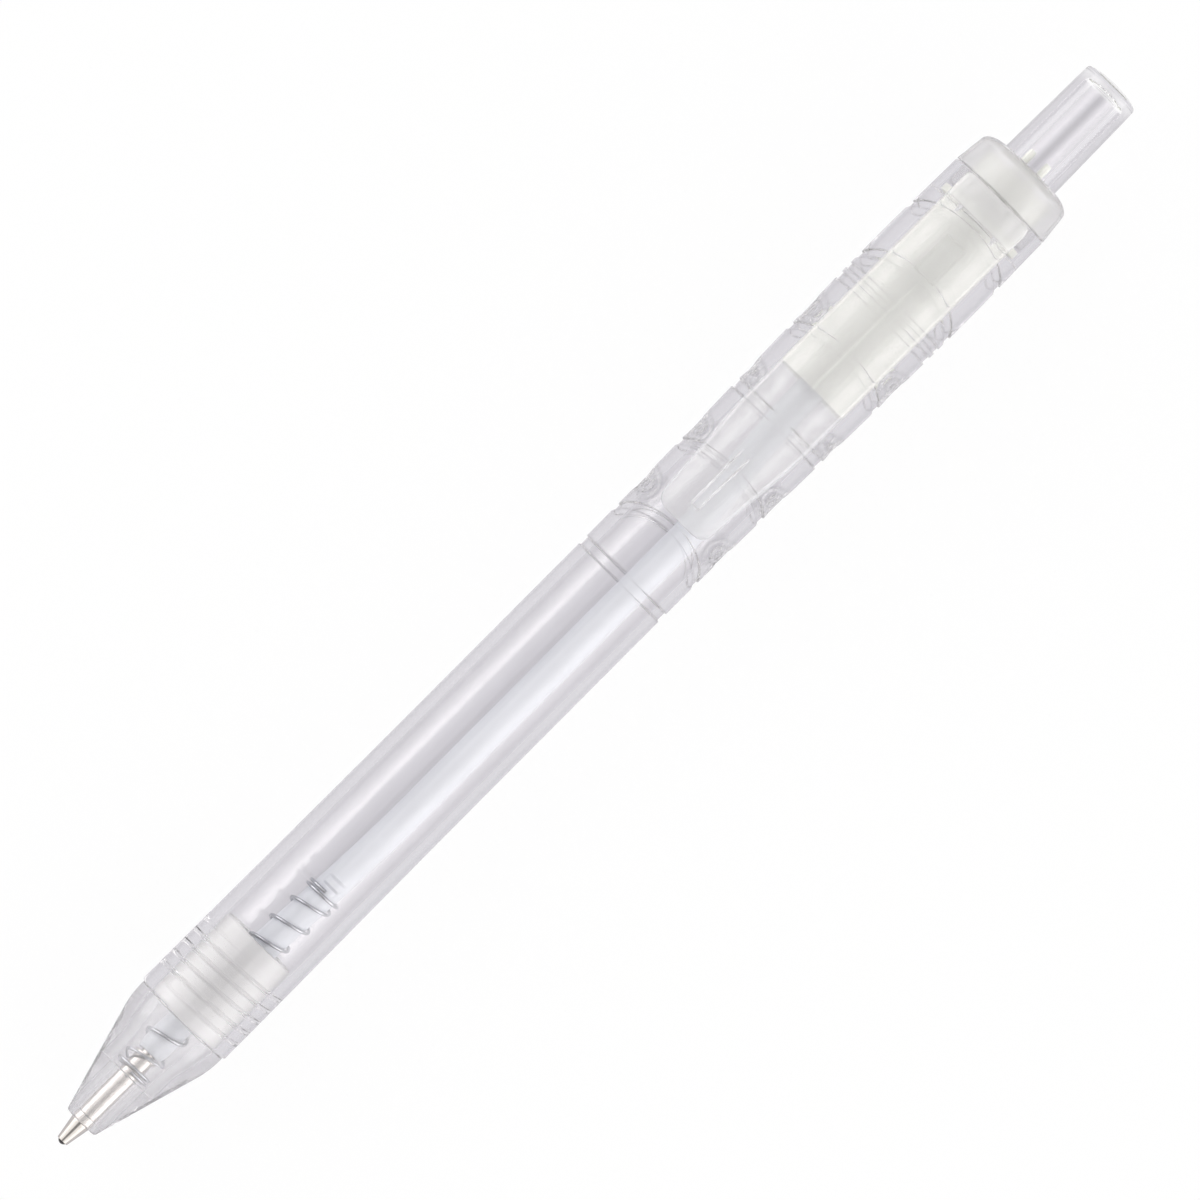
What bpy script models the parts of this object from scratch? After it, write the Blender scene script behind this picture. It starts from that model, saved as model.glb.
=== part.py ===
"""Clear pushbutton ballpoint pen, lying on its side with its clip upwards.

The pen's own axis runs along +X, from the ball of the tip (station 0) to the end of the button.
Every station below is a distance from the ball along that axis, and every piece is built on it.
"""
import math

import bmesh
import bpy
from mathutils import Vector

MM = 0.001

# Facets round the pen: a multiple of 16, so that teeth, keys and slots fall on facets.
FACETS = 32
FINE_FACETS = 16
SHARP_ANGLE = math.radians(35)
WELD = 1e-7

# Clearances.
SEAT_GAP = 0.3 * MM
SLIDE_FIT = 0.2 * MM
BALL_FIT = 0.06 * MM

# Lengths along the pen, from the ball to the button's end.
TIP_REACH = 2.83 * MM
NOSE_LENGTH = 13.5 * MM
BARREL_LENGTH = 109.77 * MM
CAP_LENGTH = 3.8 * MM
BUTTON_REACH = 11.5 * MM

# Travel of the refill and the button behind and ahead of the writing position.
RETRACT = 5.9 * MM
OVER_TRAVEL = 1.2 * MM

# Barrel: its bore, and its wall at the grip, the waist, the widest place and the mouth.
BORE_R = 4.25 * MM
GRIP_WALL = 1.19 * MM
WAIST_WALL = 1.06 * MM
FLARE_WALL = 1.64 * MM
MOUTH_WALL = 1.48 * MM
MOUTH_DEPTH = 3.5 * MM
WAIST_FROM_FRONT = 36.0 * MM
FLARE_START_FROM_REAR = 50.0 * MM
FLARE_FROM_REAR = 10.0 * MM
LEAD_IN = 0.35 * MM
GRIP_ROWS = 4

# Grooves of the upper barrel: distance ahead of the mouth on the pen's two sides, bulge towards the
# mouth on its clip side and under side, and width.
GROOVES = (
    (50.7 * MM, 0.0, 1.0 * MM),
    (46.4 * MM, 2.4 * MM, 0.9 * MM),
    (37.7 * MM, 1.5 * MM, 0.9 * MM),
    (29.9 * MM, 0.0, 1.0 * MM),
    (22.5 * MM, 1.6 * MM, 0.9 * MM),
    (15.7 * MM, 0.0, 0.8 * MM),
    (14.4 * MM, 0.0, 0.6 * MM),
    (13.1 * MM, 2.4 * MM, 0.9 * MM),
    (6.3 * MM, 1.9 * MM, 0.9 * MM),
)
GROOVE_DEPTH = 0.2 * MM
WAVE_SOFTNESS = 0.2
PLAIN_STEP = 1.4 * MM

# Oval dimples on both sides of the upper barrel: distance ahead of the mouth, and half length.
DIMPLES = (
    (42.7 * MM, 2.0 * MM),
    (35.5 * MM, 1.9 * MM),
    (28.0 * MM, 1.5 * MM),
    (19.9 * MM, 2.1 * MM),
)
DIMPLE_DEPTH = 0.15 * MM
DIMPLE_HALF_ANGLE = math.radians(36)

# Nose cone.
NOSE_STEP = 0.2 * MM
NOSE_FRONT_R = 1.82 * MM
NOSE_SHOULDER_DROP = 0.3 * MM
NOSE_ROUNDING = 2.5 * MM
NOSE_LIP = 1.0 * MM
SPIGOT_LENGTH = 10.6 * MM
SPRING_SEAT_DEPTH = 6.57 * MM

# End cap.
CAP_WALL = 1.3 * MM
CAP_TAPER = 0.41 * MM
CAP_ROUNDING = 0.8 * MM
CAP_CROWN = 0.3 * MM
SKIRT_WALL = 0.55 * MM

# Click mechanism.
SLEEVE_LENGTH = 27.8 * MM
SLEEVE_WALL = 0.75 * MM
CUP_WALL = 0.6 * MM
LAND_DEPTH = 0.55 * MM
LAND_SLANT = 1.0 * MM
FLANGE_THICK = 0.8 * MM
STOP_RING = 1.1 * MM
WINDOW_LENGTH = 4.6 * MM
WINDOW_WIDTH = 2.2 * MM
SLOTS = 4
TEETH = 8
TOOTH_DEPTH = 0.9 * MM
CROWN_NECK = 1.2 * MM
KEY_LENGTH = 2.6 * MM
SPLINE_LENGTH = 2.6 * MM
CAM_SKIRT = 1.1 * MM
CAM_SOCKET = 2.8 * MM
HUB_SHARE = 0.5
LAND_SHARE = 0.3
KEY_SHARE = 0.3

# Button.
BUTTON_BURIED = 1.2 * MM
BUTTON_TAPER = 0.17 * MM
BUTTON_ROUNDING = 0.6 * MM
BUTTON_END_WALL = 1.1 * MM
STEM_STEP = 1.15 * MM
STEM_INSERT = 8.6 * MM
STEM_SLOT_LENGTH = 3.0 * MM
STEM_SLOT_WIDTH = 1.2 * MM

# Refill.
BALL_R = 0.5 * MM
BALL_SHOWS = 0.3 * MM
LIP_WALL = 0.08 * MM
TIP_R = 1.06 * MM
TIP_CONE_LENGTH = 1.7 * MM
TIP_LENGTH = 11.9 * MM
TIP_FLANGE = 0.3 * MM
TIP_FLANGE_WALL = 0.24 * MM
TIP_TAIL = 4.0 * MM
INK_CHANNEL_R = 0.3 * MM
TUBE_R = 1.5 * MM
TUBE_WALL = 0.5 * MM
TUBE_NOSE = 0.8 * MM
EAR_LENGTH = 1.2 * MM
LEAN_CLEARANCE = 0.83 * MM
LEAN_GROWS_OVER = 33.5 * MM
LEAN_ENDS_OVER = 18.0 * MM
LEAN_END_AHEAD = 1.5 * MM
LEAN_ROWS = 7
INK_LENGTH = 61.0 * MM
FOLLOWER_LENGTH = 3.0 * MM

# Spring.
WIRE_R = 0.2 * MM
SPRING_ROOM = 0.12 * MM
SPRING_LENGTH = 25.3 * MM
SPRING_OPEN_TURNS = 9
SPRING_CLOSED_TURNS = 1.5
CLOSED_PITCH_GAP = 0.08 * MM
COIL_STEPS = 10
WIRE_SIDES = 6

# Clip.
CLIP_LENGTH = 42.9 * MM
CLIP_HALF_WIDTH = 4.05 * MM
CLIP_END_HALF_WIDTH = 3.2 * MM
CLIP_TAPER_LENGTH = 13.5 * MM
CLIP_CORNER = 1.45 * MM
CLIP_THICK = 1.3 * MM
CLIP_EDGE = 0.4 * MM
CLIP_CLEARANCE = 1.2 * MM
FOOT_LENGTH = 2.8 * MM
FOOT_HALF_WIDTH = 2.9 * MM
FOOT_EDGE = 0.35 * MM
RIB_HALF_WIDTH = 0.6 * MM
RIB_FROM_END = 2.1 * MM
RIB_LENGTH = 7.3 * MM
RIB_TOE = 1.1 * MM
RIB_RUNOUT = 0.1 * MM

# Finish of each piece: colour, roughness, metallic, transmission.
FINISHES = {
    "barrel": ((0.93, 0.93, 0.96), 0.05, 0.0, 0.9),
    "nose_cone": ((0.93, 0.93, 0.95), 0.05, 0.0, 0.9),
    "end_cap": ((0.94, 0.94, 0.93), 0.1, 0.0, 0.8),
    "clip": ((0.94, 0.94, 0.95), 0.2, 0.0, 0.8),
    "push_button": ((0.93, 0.93, 0.95), 0.05, 0.0, 0.9),
    "ratchet_plunger": ((0.92, 0.92, 0.89), 0.4, 0.0, 0.0),
    "guide_sleeve": ((0.93, 0.93, 0.9), 0.4, 0.0, 0.0),
    "rotating_cam": ((0.92, 0.92, 0.89), 0.4, 0.0, 0.0),
    "refill_tube": ((0.86, 0.88, 0.95), 0.3, 0.0, 0.0),
    "ink_column": ((0.03, 0.05, 0.35), 0.3, 0.0, 0.0),
    "ink_follower": ((0.85, 0.82, 0.7), 0.3, 0.0, 0.0),
    "writing_tip": ((0.72, 0.66, 0.58), 0.25, 1.0, 0.0),
    "ball": ((0.35, 0.34, 0.33), 0.15, 1.0, 0.0),
    "spring": ((0.7, 0.71, 0.73), 0.25, 1.0, 0.0),
}

# Stations that follow from those lengths.
NOSE_FRONT = TIP_REACH
NOSE_REAR = NOSE_FRONT + NOSE_LENGTH
BARREL_FRONT = NOSE_REAR + SEAT_GAP
BARREL_REAR = BARREL_FRONT + BARREL_LENGTH
MOUTH_FLOOR = BARREL_REAR - MOUTH_DEPTH
CAP_FRONT = BARREL_REAR + SEAT_GAP
CAP_REAR = CAP_FRONT + CAP_LENGTH
PEN_LENGTH = CAP_REAR + BUTTON_REACH

FLANGE_FRONT = MOUTH_FLOOR + SEAT_GAP
SKIRT_FRONT = FLANGE_FRONT + FLANGE_THICK + SEAT_GAP
SLEEVE_REAR = CAP_REAR - CAP_WALL - SEAT_GAP
SLEEVE_FRONT = SLEEVE_REAR - SLEEVE_LENGTH
BUTTON_FRONT = CAP_REAR - RETRACT - BUTTON_BURIED
STOP_REAR = BUTTON_FRONT - OVER_TRAVEL - SEAT_GAP
STOP_FRONT = STOP_REAR - STOP_RING
KEY_REAR = STOP_FRONT - RETRACT - SEAT_GAP
KEY_FRONT = KEY_REAR - KEY_LENGTH
PLUNGER_FRONT = KEY_FRONT - CROWN_NECK
CAM_REAR = PLUNGER_FRONT - SEAT_GAP
LAND_FRONT = CAM_REAR - 2 * TOOTH_DEPTH
SPLINE_REAR = LAND_FRONT - SEAT_GAP
SPLINE_FRONT = SPLINE_REAR - SPLINE_LENGTH
CAM_FRONT = SPLINE_FRONT - CAM_SKIRT

SPRING_SEAT = NOSE_FRONT + SPRING_SEAT_DEPTH
SPRING_FRONT = SPRING_SEAT + SEAT_GAP
SPRING_REAR = SPRING_FRONT + SPRING_LENGTH
SPIGOT_REAR = NOSE_REAR + SPIGOT_LENGTH
TUBE_FRONT = TIP_LENGTH + TIP_FLANGE + SEAT_GAP
TUBE_REAR = CAM_FRONT + CAM_SOCKET - SEAT_GAP
EAR_FRONT = SPRING_REAR + SEAT_GAP
INK_FRONT = TUBE_FRONT + TIP_TAIL + SEAT_GAP
FOLLOWER_FRONT = INK_FRONT + INK_LENGTH + SEAT_GAP
LEAN_FRONT = TUBE_FRONT
LEAN_REAR = SLEEVE_FRONT - LEAN_END_AHEAD

# Radii that follow.
GRIP_R = BORE_R + GRIP_WALL
WAIST_R = BORE_R + WAIST_WALL
FLARE_R = BORE_R + FLARE_WALL
MOUTH_R = BORE_R + MOUTH_WALL
AXIS_HEIGHT = max(GRIP_R, WAIST_R, FLARE_R, MOUTH_R)

SLEEVE_R = BORE_R - SLIDE_FIT
SLOT_R = SLEEVE_R - SLEEVE_WALL
LAND_R = SLOT_R - LAND_DEPTH
KEY_R = SLOT_R - SLIDE_FIT
PLUNGER_R = LAND_R - SLIDE_FIT
STEM_R = PLUNGER_R - STEM_STEP
CUP_R = SLEEVE_R - CUP_WALL
BUTTON_R = CUP_R - SLIDE_FIT
SKIRT_BORE_R = SLEEVE_R + SLIDE_FIT
SKIRT_R = SKIRT_BORE_R + SKIRT_WALL
MOUTH_BORE_R = SKIRT_R + SLIDE_FIT

TUBE_BORE_R = TUBE_R - TUBE_WALL
INK_R = TUBE_BORE_R - SLIDE_FIT
SPRING_R = TUBE_R + SPRING_ROOM + WIRE_R
SPRING_OUTER_R = SPRING_R + WIRE_R
LEAN = BORE_R - SPRING_OUTER_R - LEAN_CLEARANCE

CLIP_REAR = BARREL_REAR - SEAT_GAP
CLIP_FREE_END = CLIP_REAR - CLIP_LENGTH
CLIP_UNDER = FLARE_R + CLIP_CLEARANCE
CLIP_TOP = CLIP_UNDER + CLIP_THICK
FOOT_UNDER = SKIRT_R + SEAT_GAP
FOOT_REAR = CLIP_REAR
FOOT_FRONT = FOOT_REAR - FOOT_LENGTH
CLIP_HINGE = Vector(((FOOT_FRONT + FOOT_REAR) / 2, 0, (FOOT_UNDER + MOUTH_R) / 2))


def smooth_step(share):
    """0 below 0, 1 above 1, with level ends between them."""
    share = min(max(share, 0.0), 1.0)
    return share * share * (3 - 2 * share)


def between(start, end, share):
    """The value at a share of the way from start to end."""
    return start + (end - start) * share


def angles(count):
    """Angles round the pen's axis, from the clip side."""
    return [2 * math.pi * i / count for i in range(count)]


def on_axis(station, radius, angle, offset=0.0):
    """A point at an angle from the clip side, round an axis that lies offset towards -Y."""
    return Vector((station, radius * math.sin(angle) - offset, radius * math.cos(angle)))


def skin(rings, closed):
    """A mesh over rings of points: joined back to the first ring if closed, else with flat ends."""
    bm = bmesh.new()
    rows = [[bm.verts.new(point) for point in ring] for ring in rings]
    sides = len(rows[0])
    pairs = list(zip(rows, rows[1:]))
    if closed:
        pairs.append((rows[-1], rows[0]))
    for here, there in pairs:
        for i in range(sides):
            j = (i + 1) % sides
            bm.faces.new((here[i], here[j], there[j], there[i]))
    if not closed:
        bm.faces.new(rows[0])
        bm.faces.new(rows[-1])
    bmesh.ops.remove_doubles(bm, verts=bm.verts, dist=WELD)
    bmesh.ops.recalc_face_normals(bm, faces=bm.faces)
    bmesh.ops.triangulate(bm, faces=bm.faces)
    return bm


def turned(profile_at, facets=FACETS, offset_at=None, closed=True):
    """A turned mesh: profile_at(angle) gives (station, radius) points, as many at every angle."""
    profiles = [(angle, profile_at(angle)) for angle in angles(facets)]
    rings = []
    for k in range(len(profiles[0][1])):
        ring = []
        for angle, profile in profiles:
            station, radius = profile[k]
            offset = offset_at(station) if offset_at else 0.0
            ring.append(on_axis(station, radius, angle, offset))
        rings.append(ring)
    return skin(rings, closed)


def arc(station, radius, rounding, start, end, steps):
    """Points of an arc in a profile, round (station, radius), by angles from the axis direction."""
    turns = [between(start, end, i / steps) for i in range(steps + 1)]
    return [(station + rounding * math.cos(a), radius + rounding * math.sin(a)) for a in turns]


def finish(name):
    """A piece's own finish."""
    colour, roughness, metallic, transmission = FINISHES[name]
    material = bpy.data.materials.new(name)
    material.use_nodes = True
    shader = material.node_tree.nodes["Principled BSDF"]
    shader.inputs["Base Color"].default_value = (*colour, 1)
    shader.inputs["Roughness"].default_value = roughness
    shader.inputs["Metallic"].default_value = metallic
    shader.inputs["Transmission Weight"].default_value = transmission
    return material


def empty(name, parent, place):
    """A point that carries pieces, at a place on the pen."""
    carrier = bpy.data.objects.new(name, None)
    carrier.parent = parent
    carrier.location = place
    carrier.empty_display_size = 4 * MM
    bpy.context.collection.objects.link(carrier)
    return carrier


def piece(name, bm, carrier, origin):
    """An object from a mesh in pen stations, with its origin at a place on the pen."""
    bmesh.ops.translate(bm, verts=bm.verts, vec=-origin)
    mesh = bpy.data.meshes.new(name)
    bm.to_mesh(mesh)
    bm.free()
    mesh.shade_smooth()
    mesh.set_sharp_from_angle(angle=SHARP_ANGLE)
    if name in FINISHES:
        mesh.materials.append(finish(name))
    thing = bpy.data.objects.new(name, mesh)
    thing.parent = carrier
    thing.location = origin - Vector(carrier.location if carrier.parent else (0, 0, 0))
    bpy.context.collection.objects.link(thing)
    return thing


def combine(target, tool, operation):
    """Joins a tool to a piece, or cuts it away, and hides the tool."""
    tool.hide_render = True
    tool.display_type = "WIRE"
    modifier = target.modifiers.new(f"{operation.lower()} {tool.name}", "BOOLEAN")
    modifier.operation = operation
    modifier.solver = "EXACT"
    modifier.object = tool


def axis_point(station):
    """A point on the pen's axis."""
    return Vector((station, 0, 0))


def base_radius(station):
    """The barrel's outer radius without its grooves: grip, slim waist, widening flare, mouth."""
    waist = BARREL_FRONT + WAIST_FROM_FRONT
    flare_start = BARREL_REAR - FLARE_START_FROM_REAR
    flare = BARREL_REAR - FLARE_FROM_REAR
    if station < flare_start:
        return between(GRIP_R, WAIST_R, smooth_step((station - BARREL_FRONT) / (waist - BARREL_FRONT)))
    if station < flare:
        return between(WAIST_R, FLARE_R, smooth_step((station - flare_start) / (flare - flare_start)))
    return between(FLARE_R, MOUTH_R, smooth_step((station - flare) / (BARREL_REAR - flare)))


def wave(angle):
    """0 on the pen's two sides and 1 on its clip side and its under side, turning softly at the sides."""
    rise = math.hypot(math.cos(angle), WAVE_SOFTNESS) - WAVE_SOFTNESS
    return rise / (math.hypot(1, WAVE_SOFTNESS) - WAVE_SOFTNESS)


def dimple(station, angle):
    """How deep the oval dimples go at a place on the barrel."""
    from_side = math.acos(abs(math.sin(angle))) / DIMPLE_HALF_ANGLE
    depth = 0.0
    for ahead, half_length in DIMPLES:
        along = (station - BARREL_REAR + ahead) / half_length
        depth += DIMPLE_DEPTH * max(0.0, 1 - along ** 2 - from_side ** 2) ** 2
    return depth


def barrel_rows():
    """Rows of the barrel's outer skin as (station on the sides, bulge, depth), from front to mouth."""
    rows = [(BARREL_FRONT, 0.0, LEAD_IN), (BARREL_FRONT + LEAD_IN, 0.0, 0.0)]
    for i in range(1, GRIP_ROWS + 1):
        rows.append((BARREL_FRONT + WAIST_FROM_FRONT * i / GRIP_ROWS, 0.0, 0.0))
    for i, (ahead, bulge, width) in enumerate(GROOVES):
        middle = BARREL_REAR - ahead
        start = middle - width / 2
        if i:
            rows += plain_rows(rows[-1], (start, bulge))
        rows += [(start, bulge, 0.0), (middle, bulge, GROOVE_DEPTH), (middle + width / 2, bulge, 0.0)]
    rows += plain_rows(rows[-1], (BARREL_REAR, 0.0))
    rows.append((BARREL_REAR, 0.0, 0.0))
    return rows


def plain_rows(last, following):
    """Rows over the plain stretch between two grooves, which pass from one's bulge to the other's."""
    count = round((following[0] - last[0]) / PLAIN_STEP)
    shares = [i / count for i in range(1, count)]
    return [(between(last[0], following[0], s), between(last[1], following[1], s), 0.0) for s in shares]


def make_barrel(pen):
    """The barrel: a relief skin outside, a plain bore with a wider mouth inside."""
    rings = []
    for station, bulge, depth in barrel_rows():
        ring = []
        for angle in angles(FACETS):
            place = station + bulge * wave(angle)
            radius = base_radius(place) - depth - dimple(place, angle)
            ring.append(on_axis(place, radius, angle))
        rings.append(ring)
    inside = [
        (BARREL_REAR, MOUTH_BORE_R),
        (MOUTH_FLOOR, MOUTH_BORE_R),
        (MOUTH_FLOOR, BORE_R),
        (BARREL_FRONT, BORE_R),
    ]
    for station, radius in inside:
        rings.append([on_axis(station, radius, angle) for angle in angles(FACETS)])
    barrel = piece("barrel", skin(rings, True), pen, axis_point(BARREL_FRONT))
    saddle = box(FOOT_FRONT - SEAT_GAP, BARREL_REAR + MOUTH_WALL, FOOT_HALF_WIDTH + SEAT_GAP,
                 FOOT_UNDER - SEAT_GAP, FLARE_R + CLIP_THICK)
    cutter = piece("saddle_cutter", saddle, pen, axis_point(FOOT_FRONT))
    combine(barrel, cutter, "DIFFERENCE")


def box(front, rear, half_width, low, high):
    """A box between two stations and two heights over the axis."""
    corners = ((-half_width, low), (half_width, low), (half_width, high), (-half_width, high))
    return skin([[Vector((x, y, z)) for y, z in corners] for x in (front, rear)], False)


def make_nose(pen):
    """The nose: a cone that rounds into the grip, with a stepped bore and a spigot behind."""
    base_r = GRIP_R - NOSE_STEP
    cone_end = NOSE_REAR - NOSE_ROUNDING
    cone_end_r = base_r - NOSE_SHOULDER_DROP
    spigot_r = BORE_R - SLIDE_FIT
    spigot_bore_r = SPRING_OUTER_R + lean(SPIGOT_REAR + OVER_TRAVEL) + SLIDE_FIT
    chamber_r = SPRING_OUTER_R + SLIDE_FIT
    guide_r = TIP_R + 2 * SLIDE_FIT
    shoulder = []
    for i in range(1, 5):
        share = i / 4
        drop = NOSE_SHOULDER_DROP * (1 - share) ** 2
        shoulder.append((between(cone_end, NOSE_REAR, share), base_r - drop))
    profile = [
        (NOSE_FRONT, NOSE_FRONT_R),
        (cone_end, cone_end_r),
        *shoulder,
        (NOSE_REAR, spigot_r),
        (SPIGOT_REAR, spigot_r),
        (SPIGOT_REAR, spigot_bore_r),
        (NOSE_REAR, spigot_bore_r),
        (LEAN_FRONT, chamber_r),
        (SPRING_SEAT, chamber_r),
        (SPRING_SEAT, guide_r),
        (NOSE_FRONT + NOSE_LIP, guide_r),
        (NOSE_FRONT + NOSE_LIP, TIP_R + SLIDE_FIT),
        (NOSE_FRONT, TIP_R + SLIDE_FIT),
    ]
    piece("nose_cone", turned(lambda angle: profile), pen, axis_point(NOSE_FRONT))


def make_cap(pen):
    """The end cap: a skirt in the barrel's mouth, a tapered body, a crowned end with the button's hole."""
    end_r = MOUTH_R - CAP_TAPER
    corner_station = CAP_REAR - CAP_CROWN - CAP_ROUNDING
    corner = arc(corner_station, end_r - CAP_ROUNDING, CAP_ROUNDING, math.pi / 2, 0, 4)
    hole_r = BUTTON_R + SLIDE_FIT
    profile = [
        (SKIRT_FRONT, SKIRT_R),
        (CAP_FRONT, SKIRT_R),
        (CAP_FRONT, MOUTH_R),
        *corner,
        (CAP_REAR, hole_r),
        (CAP_REAR - CAP_WALL, hole_r),
        (CAP_REAR - CAP_WALL, SKIRT_BORE_R),
        (SKIRT_FRONT, SKIRT_BORE_R),
    ]
    piece("end_cap", turned(lambda angle: profile), pen, axis_point(CAP_FRONT))


def slot_share(angle):
    """How far an angle lies from the middle of its slot: 0 in the middle, 1 in the middle of a land."""
    period = 2 * math.pi / SLOTS
    from_slot = (angle + period / 2) % period - period / 2
    return abs(from_slot) / (period / 2)


def is_land(angle):
    """Whether the sleeve has a land here: the rest is slot, wider than the keys that run in it."""
    return slot_share(angle) > 1 - LAND_SHARE


def is_key(angle):
    """Whether the plunger has a key here, and the cam a spline."""
    return slot_share(angle) < KEY_SHARE


def slant(angle):
    """The slant of the teeth at the lands' front ends, 0 to 1 across a land."""
    period = 2 * math.pi / SLOTS
    from_land = angle % period / period - 0.5
    return min(max(from_land / LAND_SHARE + 0.5, 0.0), 1.0)


def zigzag(angle):
    """A row of pointed teeth round a crown, from 0 at a tip to 1 in a valley."""
    phase = angle * TEETH / (2 * math.pi) % 1
    return 1 - abs(2 * phase - 1)


def make_sleeve(pen):
    """The guide sleeve: slots between lands inside, a stop ring, a cup for the button, a flange."""
    flange_rear = FLANGE_FRONT + FLANGE_THICK

    def profile(angle):
        land_front = LAND_FRONT + LAND_SLANT * slant(angle)
        inner = (land_front, LAND_R) if is_land(angle) else (STOP_FRONT, SLOT_R)
        return [
            (SLEEVE_FRONT, SLEEVE_R),
            (FLANGE_FRONT, SLEEVE_R),
            (FLANGE_FRONT, SKIRT_R),
            (flange_rear, SKIRT_R),
            (flange_rear, SLEEVE_R),
            (SLEEVE_REAR, SLEEVE_R),
            (SLEEVE_REAR, CUP_R),
            (STOP_REAR, CUP_R),
            (STOP_REAR, LAND_R),
            (STOP_FRONT, LAND_R),
            inner,
            (land_front, SLOT_R),
            (SLEEVE_FRONT, SLOT_R),
        ]

    sleeve = piece("guide_sleeve", turned(profile), pen, axis_point(SLEEVE_FRONT))
    window_rear = STOP_FRONT - SEAT_GAP
    window = box(window_rear - WINDOW_LENGTH, window_rear, WINDOW_WIDTH / 2, LAND_R, SLEEVE_R + SLEEVE_WALL)
    cutter = piece("window_cutter", window, pen, axis_point(STOP_FRONT))
    combine(sleeve, cutter, "DIFFERENCE")


def make_plunger(button_slide):
    """The ratchet plunger: a toothed crown, keys for the sleeve's slots and a split stem for the button."""
    hub_r = PLUNGER_R * HUB_SHARE
    crown_floor = PLUNGER_FRONT + TOOTH_DEPTH
    shoulder = BUTTON_FRONT - SEAT_GAP
    stem_rear = BUTTON_FRONT + STEM_INSERT

    def profile(angle):
        key_r = KEY_R if is_key(angle) else PLUNGER_R
        return [
            (crown_floor, 0.0),
            (crown_floor, hub_r),
            (PLUNGER_FRONT + TOOTH_DEPTH * zigzag(angle), PLUNGER_R),
            (KEY_FRONT, PLUNGER_R),
            (KEY_FRONT, key_r),
            (KEY_REAR, key_r),
            (KEY_REAR, PLUNGER_R),
            (shoulder, PLUNGER_R),
            (shoulder, STEM_R),
            (stem_rear, STEM_R),
            (stem_rear, 0.0),
        ]

    bm = turned(profile, closed=False)
    plunger = piece("ratchet_plunger", bm, button_slide, axis_point(PLUNGER_FRONT))
    slot_front = stem_rear - STEM_SLOT_LENGTH
    slot = box(slot_front, stem_rear + SEAT_GAP, STEM_SLOT_WIDTH / 2, -PLUNGER_R, PLUNGER_R)
    cutter = piece("stem_cutter", slot, button_slide, axis_point(slot_front))
    combine(plunger, cutter, "DIFFERENCE")


def make_button(button_slide):
    """The push button: a hollow tapered cylinder with a rounded end and an open base."""
    top_r = BUTTON_R - BUTTON_TAPER
    cavity_r = STEM_R + SLIDE_FIT
    cavity_end = PEN_LENGTH - BUTTON_END_WALL
    corner = arc(PEN_LENGTH - BUTTON_ROUNDING, top_r - BUTTON_ROUNDING, BUTTON_ROUNDING, math.pi / 2, 0, 4)
    profile = [
        (cavity_end, 0.0),
        (cavity_end, cavity_r),
        (BUTTON_FRONT, cavity_r),
        (BUTTON_FRONT, BUTTON_R),
        (CAP_REAR, BUTTON_R),
        *corner,
        (PEN_LENGTH, 0.0),
    ]
    bm = turned(lambda angle: profile, closed=False)
    piece("push_button", bm, button_slide, axis_point(BUTTON_FRONT))


def make_cam(cam_turn):
    """The rotating cam: a toothed crown, splines for the sleeve's slots, a socket for the refill."""
    hub_r = PLUNGER_R * HUB_SHARE
    crown_floor = CAM_REAR - TOOTH_DEPTH
    socket_r = TUBE_R + SLIDE_FIT
    socket_floor = CAM_FRONT + CAM_SOCKET

    def profile(angle):
        spline_r = KEY_R if is_key(angle) else PLUNGER_R
        return [
            (socket_floor, 0.0),
            (socket_floor, socket_r),
            (CAM_FRONT, socket_r),
            (CAM_FRONT, PLUNGER_R),
            (SPLINE_FRONT, PLUNGER_R),
            (SPLINE_FRONT, spline_r),
            (SPLINE_REAR, spline_r),
            (SPLINE_REAR, PLUNGER_R),
            (CAM_REAR - TOOTH_DEPTH * (1 - zigzag(angle)), PLUNGER_R),
            (crown_floor, hub_r),
            (crown_floor, 0.0),
        ]

    piece("rotating_cam", turned(profile, closed=False), cam_turn, axis_point(CAM_FRONT))


def lean(station):
    """How far the bowed refill lies to the side: it grows behind the tip and ends before the cam."""
    grows = smooth_step((station - LEAN_FRONT) / LEAN_GROWS_OVER)
    ends = smooth_step((LEAN_REAR - station) / LEAN_ENDS_OVER)
    return LEAN * min(grows, ends)


def bent_stations(front, rear):
    """Stations for a bowed piece between its ends: more where the refill bends."""
    bends = [LEAN_FRONT + LEAN_GROWS_OVER * i / LEAN_ROWS for i in range(LEAN_ROWS + 1)]
    bends += [LEAN_REAR - LEAN_ENDS_OVER * i / LEAN_ROWS for i in range(LEAN_ROWS + 1)]
    inner = [s for s in sorted(bends) if front + SEAT_GAP < s < rear - SEAT_GAP]
    return [front, *inner, rear]


def ear_radius(angle):
    """The tube's radius where it is pinched into two ears, on its clip side and its under side."""
    return between(TUBE_R, SPRING_OUTER_R, max(0.0, math.cos(2 * angle)))


def make_tube(refill_slide):
    """The refill's tube: a tapered front, two pinched ears that the spring pushes on, and an open bore."""
    ear_rear = EAR_FRONT + EAR_LENGTH
    front_r = between(TUBE_BORE_R, TUBE_R, 0.5)
    ahead = bent_stations(TUBE_FRONT + TUBE_NOSE, EAR_FRONT)
    behind = bent_stations(ear_rear, TUBE_REAR)
    inside = bent_stations(TUBE_FRONT, TUBE_REAR)

    def profile(angle):
        ear_r = ear_radius(angle)
        outer = [(TUBE_FRONT, front_r)]
        outer += [(s, TUBE_R) for s in ahead]
        outer += [(EAR_FRONT, ear_r), (ear_rear, ear_r)]
        outer += [(s, TUBE_R) for s in behind]
        return outer + [(s, TUBE_BORE_R) for s in reversed(inside)]

    bm = turned(profile, FINE_FACETS, lean)
    piece("refill_tube", bm, refill_slide, axis_point(TUBE_FRONT))


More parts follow.
